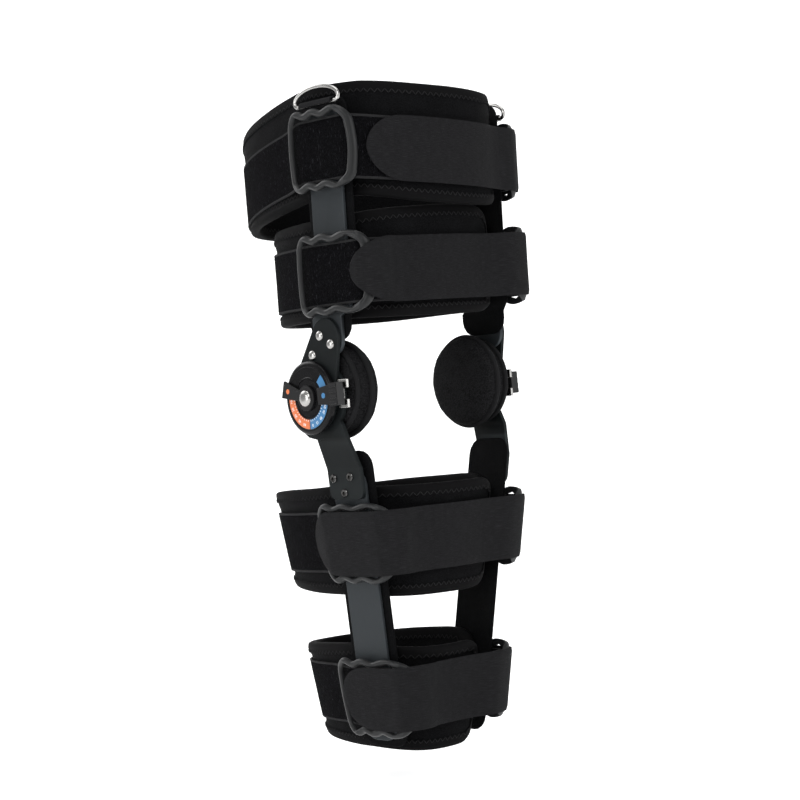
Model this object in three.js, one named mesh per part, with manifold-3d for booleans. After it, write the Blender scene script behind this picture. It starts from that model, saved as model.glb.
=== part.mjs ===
// Hinged knee immobilizer, worn on a right leg: four padded cuffs, two uprights with dial hinges.
// Millimetres, +Z up, -Y to the front of the leg, -X to its outer (lateral) side.
// The origin is the centre of the knee, on the hinge axis, which runs along X.
import * as THREE from 'three';
import { mergeVertices } from 'three/addons/utils/BufferGeometryUtils.js';
import Module from 'manifold-3d';

// Clearances
const GAP = 0.3;
const AXLE_GAP = 0.35;
const LINER_GAP = 1.4;
const STRAP_GAP = 0.8;
const FRAME_GAP = 2.6;
const HOOK_GAP = 1;
const LOOP_GAP = 0.5;

// Cuff pads: foam wraps with a bound edge
const PAD_THICK = 6;
const PAD_BINDING = 1.6;
const PAD_CORNER = 26;
const PAD_MOUTH = 8;
// The foam starts this far in front of the medial liner's front edge
const PAD_TUCK = 2;

// Straps
const STRAP_WIDTH = 50;
const LOOP_THICK = 2;
const HOOK_THICK = 1.4;
const LOOP_MARGIN = 3;
const HOOK_MARGIN = 1.5;
const HOOK_PAST = 16;
const HOOK_TIP = 1.5;
const STRAP_RISE = 36;
// A strap lies flat over an upright as far as this to each side of its middle
const STRAP_FLAT = 19;

// Uprights and the liner strips behind them
const BAR_WIDTH = 34;
const BAR_THICK = 3;
const BAR_ROUND = 12;
// A bar turns this much less than the cuff's wall, which its width allows
const BAR_EASE = 8;
const LINER_WIDTH = 47;
const LINER_THICK = 2;
const UPPER_BAR_FOOT = 30;
const UPPER_BAR_PAST = 34;
const LOWER_BAR_HEAD = -54;
const LOWER_BAR_PAST = 34;
const LINER_PAST = 5;

// Strap frames on the uprights
const FRAME_WIDTH = 58;
// A frame's middle lies this far behind the upright's
const FRAME_BACK = 3;
const FRAME_HEIGHT = 61;
const FRAME_RAIL = 5.4;
const FRAME_THICK = 3;
const FRAME_CORNER = 11;
const FRAME_WAVE = 1.2;
const FRAME_BUMPS = 2;

// Dial hinges
const HINGE_STEP = 1.6;
const ARM_THICK = 3;
const AXLE_RADIUS = 3.6;
const AXLE_HEAD_RADIUS = 6.2;
const AXLE_HEAD_HEIGHT = 2.6;
const UPPER_HUB_RADIUS = 25.5;
const LOWER_HUB_RADIUS = 32;
const ARM_TOP_RADIUS = 15.5;
const ARM_TOP_FORWARD = 18;
const ARM_TOP_HEIGHT = 43;
const LOWER_ARM_WIDTH = 35;
const LOWER_ARM_REACH = 77;
const LOWER_ARM_NECK = 30;
const LOWER_ARM_FORWARD = 14;
const DIAL_RADIUS = 27.5;
const DIAL_THICK = 4.6;
const DIAL_BEVEL = 3.4;
const STOP_THICK = 2;
const STOP_HUB_RADIUS = 9.5;
const POINTER_REACH = 29;
const POINTER_ANGLE = 16;
const POINTER_SPREAD = 13;
const TAB_REACH = 37;
const TAB_ANGLE = 177;
const TAB_HALF = 8.5;
const TAB_RIDGES = 4;
const TAB_RIDGE_HEIGHT = 1.4;
const TAB_RIDGE_MARGIN = 1;
const TAB_HUB_GAP = 4.5;
const CATCH_AWAY = 3.5;
const CATCH_LENGTH = 10;
const CATCH_HEIGHT = 21;
const RIVET_RADIUS = 3.9;
const RIVET_HEIGHT = 1.9;
const SCREW_RADIUS = 3.2;
const SCREW_HEIGHT = 0.9;

// Round pad between each hinge and the knee
const KNEE_PAD_RADIUS = 36;
const KNEE_PAD_FACE = 54;
const KNEE_PAD_FORWARD = 9;
const KNEE_PAD_RISE = 5;

// Ring at the top of each upright
const RING_WIDTH = 49;
const RING_HEIGHT = 15.5;
const RING_WIRE = 3;
const TAB_WEB_WIDTH = 34;
const TAB_WEB_LENGTH = 6.5;
const TAB_WEB_THICK = 1.2;

// How finely round shapes are cut
const ROUND_SIDES = 20;
const AXLE_SIDES = 12;
const SMALL_SIDES = 8;
const ARC_STEPS = 8;
const RING_STEPS = 10;
const FRAME_STEPS = 8;
const STRAP_STEP = 8.6;
const NEAR_STATION = 2;
const PAD_STEP = 13;
const TWIST_STEP = 2.5;
const MIN_TWIST = 0.6;
const CUFF_STEPS = 720;
// Where a rounded corner is cut, as shares of its radius
const CORNER_SHARES = [0, 0.04, 0.15, 0.35, 0.65, 1];
const PLATE_CORNER_SHARES = [0.06, 0.25, 0.6, 1];

// One row for each cuff, thigh to ankle.
// half: half width; front, back: reach from the widest line; wide: where that line lies along Y;
// z: height of the strap's middle at the lateral upright; slope: fall towards the back; dip: fall
// towards the front; tilt: fall towards the medial side; bar: where the upright crosses, along Y;
// top and bottom: pad edges past the strap's middle at the front, the sides and the back;
// hookEnd: end of the hook strap past the lateral upright
const CUFFS = {
  thigh_upper: {
    half: 76, front: 67, back: 148, wide: -11, z: 181, slope: 0.14, dip: 0.1, tilt: 0.04, bar: -27,
    top: { front: 48, side: 48, back: 44 }, bottom: { front: 37, side: 32, back: 26 }, hookEnd: -32,
  },
  thigh_lower: {
    half: 75, front: 48, back: 113, wide: -14, z: 90, slope: 0, dip: 0, tilt: -0.02, bar: -26,
    top: { front: 46, side: 41, back: 37 }, bottom: { front: 34, side: 32, back: 33 }, hookEnd: -15,
  },
  shin_upper: {
    half: 62, front: 51, back: 126, wide: -1, z: -110, slope: 0.03, dip: -0.03, tilt: 0, bar: -16,
    top: { front: 39, side: 41, back: 38 }, bottom: { front: 42, side: 40, back: 34 }, hookEnd: 36,
  },
  shin_lower: {
    half: 45, front: 43, back: 102, wide: 5, z: -228, slope: 0.04, dip: -0.04, tilt: 0, bar: -7,
    top: { front: 34, side: 38, back: 35 }, bottom: { front: 43, side: 41, back: 35 }, hookEnd: 22,
  },
};
const CUFF_SQUARENESS = 2.3;
// Near the upright, as far as this along Y, a cuff doesn't slope
const LEVEL_REACH = 24;

// Rivets and screws on the hinge arms: forward of the axis, and up. Two rivets keep to the arm's
// round top, the third to the dial's rim and the screws to the foot of the lower arm.
const RIVET_GAP = 0.1;
const ARM_RIVETS = [
  { forward: ARM_TOP_FORWARD - 5, up: ARM_TOP_HEIGHT + 2.5 },
  { forward: ARM_TOP_FORWARD + 7, up: ARM_TOP_HEIGHT - 4.5 },
  { forward: 3, up: DIAL_RADIUS + RIVET_RADIUS + RIVET_GAP },
];
const ARM_SCREWS = [
  { forward: 8.5, up: 16 - LOWER_ARM_REACH },
  { forward: 26, up: 17 - LOWER_ARM_REACH },
  { forward: 17.5, up: 5 - LOWER_ARM_REACH },
];

// Below the middle of this cuff the uprights run straight down to the hinge.
const NEAR_HINGE = 'thigh_lower';

const LATERAL = -1;
const MEDIAL = 1;
const SIDES = { lateral: LATERAL, medial: MEDIAL };

const COLOURS = {
  pad: { color: '#121314', roughness: 0.9, metalness: 0 },
  loop: { color: '#0d0e0e', roughness: 1, metalness: 0 },
  hook: { color: '#232326', roughness: 0.85, metalness: 0 },
  liner: { color: '#101111', roughness: 0.9, metalness: 0 },
  frame: { color: '#2c2d2f', roughness: 0.5, metalness: 0 },
  bar: { color: '#3b3e42', roughness: 0.4, metalness: 0.6 },
  arm: { color: '#1d1e20', roughness: 0.4, metalness: 0.4 },
  dial: { color: '#17181a', roughness: 0.3, metalness: 0.1 },
  stop: { color: '#1b1c1e', roughness: 0.35, metalness: 0 },
  steel: { color: '#c3c6c9', roughness: 0.25, metalness: 1 },
  webbing: { color: '#141414', roughness: 0.95, metalness: 0 },
};

const manifold = await Module();
manifold.setup();

function rad(degrees) {
  return THREE.MathUtils.degToRad(degrees);
}

function geometryOf(points, faces) {
  const geometry = new THREE.BufferGeometry();
  geometry.setAttribute('position', new THREE.Float32BufferAttribute(points.flat(), 3));
  geometry.setIndex(faces.flat());
  return facingOut(geometry);
}

// Turns the faces round where the signed volume says that they look inwards.
function facingOut(geometry) {
  const at = geometry.getAttribute('position');
  const index = Array.from(geometry.getIndex().array);
  const corner = (i) => new THREE.Vector3().fromBufferAttribute(at, i);
  let volume = 0;
  for (let i = 0; i < index.length; i += 3) {
    volume += corner(index[i]).dot(corner(index[i + 1]).cross(corner(index[i + 2])));
  }
  if (volume < 0) {
    for (let i = 0; i < index.length; i += 3) {
      [index[i], index[i + 1]] = [index[i + 1], index[i]];
    }
  }
  geometry.setIndex(index);
  geometry.computeVertexNormals();
  return geometry;
}

function welded(geometry) {
  const plain = geometry.clone();
  plain.deleteAttribute('normal');
  plain.deleteAttribute('uv');
  return facingOut(mergeVertices(plain, 1e-4));
}

// The same shape on the other side of the leg.
function mirrored(geometry) {
  return facingOut(geometry.clone().scale(-1, 1, 1));
}

function onSide(geometry, side) {
  return side === LATERAL ? mirrored(geometry) : geometry;
}

function solidOf(geometry) {
  const clean = welded(geometry);
  const mesh = new manifold.Mesh({
    numProp: 3,
    vertProperties: new Float32Array(clean.getAttribute('position').array),
    triVerts: new Uint32Array(clean.getIndex().array),
  });
  return new manifold.Manifold(mesh);
}

function geometryFromSolid(solid) {
  const mesh = solid.getMesh();
  const geometry = new THREE.BufferGeometry();
  geometry.setAttribute('position', new THREE.Float32BufferAttribute(mesh.vertProperties, 3));
  geometry.setIndex(Array.from(mesh.triVerts));
  return facingOut(geometry);
}

// A closed solid through rows of points that all have the same count. The two halves of a row are
// split the opposite way, so that the inner and outer face of a twisted plate stay parallel.
function loft(rows, endless) {
  const count = rows[0].length;
  const faces = [];
  const spans = endless ? rows.length : rows.length - 1;
  for (let i = 0; i < spans; i += 1) {
    const here = i * count;
    const next = ((i + 1) % rows.length) * count;
    for (let j = 0; j < count; j += 1) {
      const k = (j + 1) % count;
      if (j < count / 2) {
        faces.push([here + j, here + k, next + k], [here + j, next + k, next + j]);
      } else {
        faces.push([here + j, here + k, next + j], [here + k, next + k, next + j]);
      }
    }
  }
  if (!endless) {
    const last = (rows.length - 1) * count;
    for (let j = 1; j < count - 1; j += 1) {
      faces.push([0, j + 1, j], [last, last + j, last + j + 1]);
    }
  }
  return geometryOf(rows.flat(), faces);
}

// The outer line of a cuff, seen from above, as points evenly spread by angle, with the length so far.
// Length counts from the middle of the front, and grows towards the lateral side.
function cuffLine(cuff) {
  const power = 2 / CUFF_SQUARENESS;
  const points = [];
  for (let i = 0; i <= CUFF_STEPS; i += 1) {
    const angle = (i / CUFF_STEPS) * Math.PI * 2;
    const across = Math.sin(angle);
    const along = Math.cos(angle);
    const reach = along > 0 ? cuff.front : cuff.back;
    const x = -cuff.half * Math.sign(across) * Math.abs(across) ** power;
    const y = cuff.wide - reach * Math.sign(along) * Math.abs(along) ** power;
    points.push({ x, y, s: 0 });
  }
  for (let i = 1; i <= CUFF_STEPS; i += 1) {
    points[i].s = points[i - 1].s + Math.hypot(points[i].x - points[i - 1].x, points[i].y - points[i - 1].y);
  }
  return points;
}

// Place and outward direction on a cuff's line at a length from the front.
function onLine(line, s) {
  const round = line[CUFF_STEPS].s;
  const wanted = ((s % round) + round) % round;
  let i = 1;
  while (i < CUFF_STEPS && line[i].s < wanted) {
    i += 1;
  }
  const a = line[i - 1];
  const b = line[i];
  const share = (wanted - a.s) / (b.s - a.s);
  const before = line[(i - 3 + CUFF_STEPS) % CUFF_STEPS];
  const after = line[(i + 2) % CUFF_STEPS];
  const length = Math.hypot(after.x - before.x, after.y - before.y);
  return {
    x: a.x + (b.x - a.x) * share,
    y: a.y + (b.y - a.y) * share,
    nx: -(after.y - before.y) / length,
    ny: (after.x - before.x) / length,
  };
}

function lengthWhereY(line, y) {
  const i = line.findIndex((p) => p.y >= y);
  return line[i].s;
}

// Everything that the pieces of one cuff share.
function prepareCuff(name) {
  const cuff = CUFFS[name];
  const line = cuffLine(cuff);
  const barAt = lengthWhereY(line, cuff.bar);
  const round = line[CUFF_STEPS].s;
  const bar = onLine(line, barAt);
  const turn = Math.max(Math.atan2(-bar.ny, -bar.nx) - rad(BAR_EASE), 0);
  return { ...cuff, name, line, barAt, round, turn, barPoint: bar };
}

const cuffs = Object.fromEntries(Object.keys(CUFFS).map((name) => [name, prepareCuff(name)]));

// Signed length to the nearer upright.
function fromBar(cuff, s) {
  const half = cuff.round / 2;
  const wrapped = ((s + half) % cuff.round + cuff.round) % cuff.round - half;
  return Math.abs(wrapped) - cuff.barAt;
}

// How far a strap stands off the pad: flat over the upright, then a taut line down to the pad.
function lift(cuff, s) {
  const stack = LINER_GAP + LINER_THICK + BAR_THICK + GAP + STRAP_GAP;
  const flat = STRAP_FLAT;
  const away = fromBar(cuff, s);
  const inside = Math.min(Math.max(away, -flat), flat);
  const place = onLine(cuff.line, cuff.barAt + inside);
  const faceX = -Math.cos(cuff.turn);
  const faceY = -Math.sin(cuff.turn);
  const drop = (cuff.barPoint.x - place.x) * faceX + (cuff.barPoint.y - place.y) * faceY;
  const over = (stack + drop) / (place.nx * faceX + place.ny * faceY);
  const beyond = Math.abs(away) - flat;
  if (beyond <= 0) {
    return over;
  }
  const share = Math.min(beyond / STRAP_RISE, 1);
  return over * (1 - share) ** 2 * (1 + share);
}

// How far a cuff lies below its lateral side, by where it is along X
function sideDrop(cuff, x) {
  return cuff.tilt * (x + cuff.half);
}

function cuffHeight(cuff, x, y) {
  const along = y - cuff.bar;
  const beyond = Math.max(Math.abs(along) - LEVEL_REACH, 0);
  const fall = along > 0 ? cuff.slope : cuff.dip;
  return cuff.z - fall * beyond - sideDrop(cuff, x);
}

// How much a cuff widens with each millimetre of height, so that its wall leans as its uprights do.
function findTaper(cuff, low, high) {
  const rise = high.z - low.z;
  const { nx, ny } = cuff.barPoint;
  return (-nx * (high.x - low.x) + ny * (high.y - low.y)) / rise;
}

// A point at a length round the cuff, a height from the strap's middle and a distance off the pad.
function cuffPoint(cuff, s, height, off) {
  const place = onLine(cuff.line, s);
  const lean = height - sideDrop(cuff, place.x);
  const out = off + cuff.taper * (cuff.name === NEAR_HINGE ? Math.max(lean, 0) : lean);
  const x = place.x + place.nx * out;
  const y = place.y + place.ny * out;
  return [x, y, cuffHeight(cuff, x, y) + height];
}

// Mixes a value at the front, the sides and the back by where on the cuff it is wanted.
function roundValue(cuff, s, values) {
  const place = onLine(cuff.line, s);
  const reach = place.y < cuff.wide ? cuff.front : cuff.back;
  const share = Math.min(((place.y - cuff.wide) / reach) ** 2, 1);
  const end = place.y < cuff.wide ? values.front : values.back;
  return values.side + (end - values.side) * share;
}

function cornerInset(distance, radius) {
  if (distance >= radius) {
    return 0;
  }
  return radius - Math.sqrt(radius ** 2 - (radius - distance) ** 2);
}

// Lengths from one end to the other, closer together where a corner rounds the end.
function stations(from, to, step, cornerFrom, cornerTo) {
  const first = cornerFrom ? CORNER_SHARES.map((v) => from + v * cornerFrom) : [from];
  const last = cornerTo ? CORNER_SHARES.map((v) => to - v * cornerTo).reverse() : [to];
  const start = first[first.length - 1];
  const end = last[0];
  const count = Math.max(1, Math.round((end - start) / step));
  const middle = [];
  for (let i = 1; i < count; i += 1) {
    middle.push(start + ((end - start) * i) / count);
  }
  return [...first, ...middle, ...last];
}

// A foam wrap: it starts in front of the medial upright and goes round the front, the lateral
// side and the back until it ends under the medial upright.
function padGeometry(cuff) {
  const mouth = -(cuff.barAt - LINER_WIDTH / 2 + PAD_TUCK);
  const from = mouth;
  const to = cuff.round + mouth - PAD_MOUTH;
  const rows = stations(from, to, PAD_STEP, PAD_CORNER, PAD_CORNER).map((s) => {
    const nearest = Math.min(s - from, to - s);
    const inset = cornerInset(nearest, PAD_CORNER);
    const top = roundValue(cuff, s, cuff.top) - inset;
    const bottom = -roundValue(cuff, s, cuff.bottom) + inset;
    const section = [
      [-PAD_THICK, bottom + PAD_BINDING],
      [-PAD_THICK / 2, bottom],
      [0, bottom + PAD_BINDING],
      [0, top - PAD_BINDING],
      [-PAD_THICK / 2, top],
      [-PAD_THICK, top - PAD_BINDING],
    ];
    return section.map(([off, height]) => cuffPoint(cuff, s, height, off));
  });
  return loft(rows, false);
}

// Adds the places where a strap leaves the flat over the uprights.
function withFlatEnds(values, middles) {
  const ends = middles.flatMap((middle) => [middle - STRAP_FLAT, middle + STRAP_FLAT]);
  const inside = ends.filter((s) => s > values[0] && s < values[values.length - 1] - STRAP_STEP);
  const kept = values.filter((v) => inside.every((s) => Math.abs(s - v) > NEAR_STATION));
  return [...kept, ...inside].sort((a, b) => a - b);
}

// A flat band along the cuff between two distances off the strap's path.
function bandRow(cuff, s, inner, outer, half) {
  return [
    cuffPoint(cuff, s, -half, inner),
    cuffPoint(cuff, s, -half, outer),
    cuffPoint(cuff, s, half, outer),
    cuffPoint(cuff, s, half, inner),
  ];
}

// The soft pile strap goes all the way round, over both uprights.
function loopStrapGeometry(cuff) {
  const count = Math.round(cuff.round / STRAP_STEP);
  const values = [];
  for (let i = 0; i < count; i += 1) {
    values.push((cuff.round * i) / count);
  }
  const rows = withFlatEnds(values, [cuff.barAt, cuff.round - cuff.barAt]).map((s) => {
    const inner = lift(cuff, s) + LOOP_OFF;
    return bandRow(cuff, s, inner, inner + LOOP_THICK, (STRAP_WIDTH - LOOP_MARGIN) / 2);
  });
  return loft(rows, true);
}

// Distances off the strap's path
const LOOP_OFF = LOOP_GAP;
const FRAME_OFF = LOOP_OFF + LOOP_THICK + FRAME_GAP;
const HOOK_OFF = LOOP_OFF + LOOP_THICK + HOOK_GAP;

function smooth(share) {
  const held = Math.min(Math.max(share, 0), 1);
  return held * held * (3 - 2 * held);
}

// How far the hook strap stands off the pile strap, to clear a strap frame.
function frameLift(cuff, s) {
  const edge = FRAME_WIDTH / 2 + FRAME_RAIL;
  const away = Math.abs(fromBar(cuff, s) - FRAME_BACK);
  const run = FRAME_RAIL * 2;
  return (FRAME_OFF + FRAME_THICK + HOOK_GAP + GAP - HOOK_OFF) * (1 - smooth((away - edge) / run));
}

// The woven hook strap on the front: it starts behind the medial frame, runs over it and ends,
// rounded, near or over the lateral frame. Only where it reaches a frame does it rise over it.
function hookStrapGeometry(cuff) {
  const from = -(cuff.barAt + FRAME_WIDTH / 2 + HOOK_PAST);
  const to = cuff.barAt + cuff.hookEnd;
  const half = (STRAP_WIDTH - HOOK_MARGIN) / 2;
  const round = half;
  const values = stations(from, to, STRAP_STEP, 0, round);
  const rows = withFlatEnds(values, [-cuff.barAt, cuff.barAt]).map((s) => {
    const reachesFrame = s < 0 || cuff.hookEnd > -FRAME_WIDTH / 2;
    const over = reachesFrame ? frameLift(cuff, s) : 0;
    const inner = lift(cuff, s) + HOOK_OFF + over;
    const width = Math.max(half - cornerInset(to - s, round), HOOK_TIP);
    return bandRow(cuff, s, inner, inner + HOOK_THICK, width);
  });
  return loft(rows, false);
}

// The middle line of a strap frame, drawn flat: along the cuff and up, with a wavy top and foot.
function frameOutline() {
  const w = (FRAME_WIDTH - FRAME_RAIL) / 2;
  const h = (FRAME_HEIGHT - FRAME_RAIL) / 2;
  const straight = w - FRAME_CORNER;
  const wave = (x) => FRAME_WAVE * Math.cos((Math.PI * FRAME_BUMPS * x) / straight);
  const points = [];
  for (const end of [1, -1]) {
    for (let i = 0; i <= FRAME_STEPS; i += 1) {
      const x = end * straight * (1 - (2 * i) / FRAME_STEPS);
      points.push([x, end * (h + wave(x) - FRAME_WAVE)]);
    }
    for (let i = 1; i <= 2; i += 1) {
      const angle = rad(90 + (90 * i) / 3);
      const x = end * (-straight + FRAME_CORNER * Math.cos(angle));
      const y = end * (h - FRAME_CORNER + FRAME_CORNER * Math.sin(angle));
      points.push([x, y]);
    }
    for (let i = 0; i <= 2; i += 1) {
      const y = end * (h - FRAME_CORNER) * (1 - i);
      const bow = 1 - (y / (h - FRAME_CORNER)) ** 2;
      points.push([-end * (w + FRAME_WAVE * bow), y]);
    }
    for (let i = 1; i <= 2; i += 1) {
      const angle = rad(180 + (90 * i) / 3);
      const x = end * (-straight + FRAME_CORNER * Math.cos(angle));
      const y = end * (-h + FRAME_CORNER + FRAME_CORNER * Math.sin(angle));
      points.push([x, y]);
    }
  }
  return points;
}

function strapFrameGeometry(cuff, side) {
  const outline = frameOutline();
  const count = outline.length;
  const at = cuff.barAt + FRAME_BACK;
  const middle = side === LATERAL ? at : cuff.round - at;
  const rows = outline.map(([x, y], i) => {
    const before = outline[(i + count - 1) % count];
    const after = outline[(i + 1) % count];
    const length = Math.hypot(after[0] - before[0], after[1] - before[1]);
    const outX = (after[1] - before[1]) / length;
    const outY = -(after[0] - before[0]) / length;
    const edge = (share) => [x + outX * FRAME_RAIL * share, y + outY * FRAME_RAIL * share];
    const place = ([along, up], off) => {
      const s = middle + along;
      return cuffPoint(cuff, s, up, lift(cuff, s) + FRAME_OFF + off);
    };
    return [
      place(edge(-0.5), 0),
      place(edge(0.5), 0),
      place(edge(0.3), FRAME_THICK),
      place(edge(-0.3), FRAME_THICK),
    ];
  });
  return loft(rows, true);
}

// Where an upright crosses a cuff: on the medial side, with the turn of its face from X.
function barRowAt(cuff) {
  const off = LINER_GAP + LINER_THICK + GAP + BAR_THICK / 2;
  const x = -cuff.barPoint.x + Math.cos(cuff.turn) * off;
  const y = cuff.barPoint.y - Math.sin(cuff.turn) * off;
  return { z: cuff.z, x, y, turn: cuff.turn };
}

for (const [low, high] of [['thigh_lower', 'thigh_upper'], ['shin_lower', 'shin_upper']]) {
  const turn = (cuffs[low].turn + cuffs[high].turn) / 2;
  cuffs[low].turn = turn;
  cuffs[high].turn = turn;
  for (const name of [low, high]) {
    cuffs[name].taper = findTaper(cuffs[name], barRowAt(cuffs[low]), barRowAt(cuffs[high]));
  }
}

function between(a, b, z) {
  const share = (z - a.z) / (b.z - a.z);
  const mix = (key) => a[key] + (b[key] - a[key]) * share;
  return { z, x: mix('x'), y: mix('y'), turn: mix('turn') };
}

// The hinges stand where the uprights leave the lower thigh cuff.
const HINGE_BAR_X = barRowAt(cuffs.thigh_lower).x + HINGE_STEP;
const HINGE_HALF = HINGE_BAR_X - ARM_THICK / 2;

function upperBarRows() {
  const low = barRowAt(cuffs.thigh_lower);
  const high = barRowAt(cuffs.thigh_upper);
  const foot = { z: UPPER_BAR_FOOT, x: HINGE_BAR_X, y: -ARM_TOP_FORWARD, turn: 0 };
  const armTop = { ...foot, z: ARM_TOP_HEIGHT + ARM_TOP_RADIUS };
  const strapFoot = { ...low, z: low.z - STRAP_WIDTH / 2 };
  const top = between(low, high, high.z + UPPER_BAR_PAST);
  return [foot, armTop, strapFoot, low, high, top];
}

function lowerBarRows() {
  const high = barRowAt(cuffs.shin_upper);
  const low = barRowAt(cuffs.shin_lower);
  const head = between(high, low, LOWER_BAR_HEAD);
  const foot = between(high, low, low.z - LOWER_BAR_PAST);
  return [foot, low, high, head];
}

function rowAt(rows, z) {
  let i = 1;
  while (i < rows.length - 1 && rows[i].z < z) {
    i += 1;
  }
  return between(rows[i - 1], rows[i], z);
}

// A point on a plate: along its width towards the back, at a height, and off its middle plane.
function platePoint(row, along, off) {
  return [
    row.x + Math.cos(row.turn) * off + Math.sin(row.turn) * along,
    row.y - Math.sin(row.turn) * off + Math.cos(row.turn) * along,
    row.z,
  ];
}

// A long plate through rows of places, with rounded ends.
function plateGeometry(rows, width, thick, off, round) {
  const bottom = rows[0].z;
  const top = rows[rows.length - 1].z;
  const heights = [bottom, ...rows.map((r) => r.z), top];
  for (const share of PLATE_CORNER_SHARES) {
    heights.push(bottom + round * share, top - round * share);
  }
  for (let z = Math.ceil(bottom / TWIST_STEP) * TWIST_STEP; z < top; z += TWIST_STEP) {
    const twist = rowAt(rows, z + TWIST_STEP).turn - rowAt(rows, z - TWIST_STEP).turn;
    if (Math.abs(twist) > rad(MIN_TWIST)) {
      heights.push(z);
    }
  }
  const levels = [...new Set(heights)].sort((a, b) => a - b);
  const loops = levels.map((z) => {
    const row = rowAt(rows, z);
    const inset = cornerInset(Math.min(z - bottom, top - z), round);
    const half = width / 2 - inset;
    const inner = off - thick / 2;
    const outer = off + thick / 2;
    return [
      platePoint(row, -half, inner),
      platePoint(row, -half, outer),
      platePoint(row, half, outer),
      platePoint(row, half, inner),
    ];
  });
  return loft(loops, false);
}

function linerRows(rows, from, to) {
  const inside = rows.filter((r) => r.z > from && r.z < to);
  return [rowAt(rows, from), ...inside, rowAt(rows, to)];
}

const LINER_OFF = -(BAR_THICK + LINER_THICK) / 2 - GAP;

// A round-cornered outline in the hinge plane becomes a plate: shape x is forward, shape y is up.
function hingePlate(shape, inner, thick) {
  const geometry = new THREE.ExtrudeGeometry(shape, { depth: thick, bevelEnabled: false, curveSegments: ARC_STEPS });
  const place = new THREE.Matrix4().set(0, 0, 1, inner, -1, 0, 0, 0, 0, 1, 0, 0, 0, 0, 0, 1);
  return welded(geometry.applyMatrix4(place));
}

function roundHole(radius) {
  return new THREE.Path().absarc(0, 0, radius, 0, Math.PI * 2, true);
}

// The outline round two circles, the hub at the axis and another one away from it.
function twoCircles(hub, forward, up, radius) {
  const distance = Math.hypot(forward, up);
  const direction = Math.atan2(up, forward);
  const open = Math.acos((hub - radius) / distance);
  const shape = new THREE.Shape();
  shape.absarc(0, 0, hub, direction + open, direction - open, false);
  shape.absarc(forward, up, radius, direction - open, direction + open, false);
  shape.closePath();
  return shape;
}

const UPPER_ARM_INNER = HINGE_HALF + ARM_THICK + GAP;
const DIAL_INNER = UPPER_ARM_INNER + ARM_THICK + GAP;
const STOP_INNER = DIAL_INNER + DIAL_THICK + GAP;
const AXLE_HEAD_INNER = STOP_INNER + STOP_THICK + GAP;

function upperArmGeometry() {
  const shape = twoCircles(UPPER_HUB_RADIUS, ARM_TOP_FORWARD, ARM_TOP_HEIGHT, ARM_TOP_RADIUS);
  shape.holes.push(roundHole(AXLE_RADIUS + AXLE_GAP));
  return hingePlate(shape, UPPER_ARM_INNER, ARM_THICK);
}

// The lower arm is a flat hub that bends in below the dial and lies on the outside of the bar.
function lowerArmGeometry(barRows) {
  const hub = new THREE.Shape();
  hub.absarc(0, 0, LOWER_HUB_RADIUS, 0, Math.PI * 2, false);
  const hubPlate = hingePlate(hub, HINGE_HALF, ARM_THICK);
  const off = BAR_THICK / 2 + GAP + ARM_THICK / 2;
  const rows = [];
  for (const z of [-LOWER_ARM_REACH, -LOWER_ARM_REACH * 0.85, LOWER_BAR_HEAD]) {
    const row = rowAt(barRows, z);
    const [x, y] = platePoint(row, 0, off);
    rows.push({ ...row, x, y });
  }
  const middle = HINGE_BAR_X;
  rows.push({ z: -LOWER_ARM_NECK, x: middle, y: -LOWER_ARM_FORWARD, turn: 0 });
  rows.push({ z: -LOWER_ARM_NECK / 2, x: middle, y: -LOWER_ARM_FORWARD / 2, turn: 0 });
  const plate = plateGeometry(rows, LOWER_ARM_WIDTH, ARM_THICK, 0, BAR_ROUND / 2);
  const hole = new THREE.CylinderGeometry(AXLE_RADIUS + AXLE_GAP, AXLE_RADIUS + AXLE_GAP, ARM_THICK * 3, ROUND_SIDES);
  hole.rotateZ(Math.PI / 2).translate(middle, 0, 0);
  return geometryFromSolid(solidOf(hubPlate).add(solidOf(plate)).subtract(solidOf(hole)));
}

// A turned piece: profile pairs hold the distance along the axis and the radius.
function turned(profile, sides) {
  const points = profile.map(([along, radius]) => new THREE.Vector2(radius, along));
  return welded(new THREE.LatheGeometry(points, sides).rotateZ(-Math.PI / 2));
}

function dialGeometry() {
  const hole = AXLE_RADIUS + AXLE_GAP;
  const profile = [
    [0, hole],
    [DIAL_THICK, hole],
    [DIAL_THICK, DIAL_RADIUS - DIAL_BEVEL],
    [DIAL_THICK - DIAL_BEVEL * 0.5, DIAL_RADIUS],
    [0, DIAL_RADIUS],
    [0, hole],
  ];
  return turned(profile, ROUND_SIDES).translate(DIAL_INNER, 0, 0);
}

function axleGeometry() {
  const head = AXLE_HEAD_INNER;
  const profile = [
    [HINGE_HALF, 0],
    [HINGE_HALF, AXLE_RADIUS],
    [head, AXLE_RADIUS],
    [head, AXLE_HEAD_RADIUS],
    [head + AXLE_HEAD_HEIGHT * 0.45, AXLE_HEAD_RADIUS],
    [head + AXLE_HEAD_HEIGHT * 0.85, AXLE_HEAD_RADIUS * 0.7],
    [head + AXLE_HEAD_HEIGHT, 0],
  ];
  return turned(profile, AXLE_SIDES);
}

// The extension stop: a ring round the axle with a pointer that widens towards the rim.
function pointerGeometry() {
  const shape = new THREE.Shape();
  const angle = rad(180 - POINTER_ANGLE);
  const spread = rad(POINTER_SPREAD);
  const waist = rad(POINTER_SPREAD * 2);
  const at = (radius, a) => [radius * Math.cos(a), radius * Math.sin(a)];
  shape.moveTo(...at(POINTER_REACH, angle - spread));
  shape.lineTo(...at(POINTER_REACH, angle + spread));
  shape.lineTo(...at(STOP_HUB_RADIUS, angle + waist));
  shape.absarc(0, 0, STOP_HUB_RADIUS, angle + waist, angle - waist + Math.PI * 2, false);
  shape.closePath();
  shape.holes.push(roundHole(AXLE_RADIUS + AXLE_GAP));
  return hingePlate(shape, STOP_INNER, STOP_THICK);
}

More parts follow.
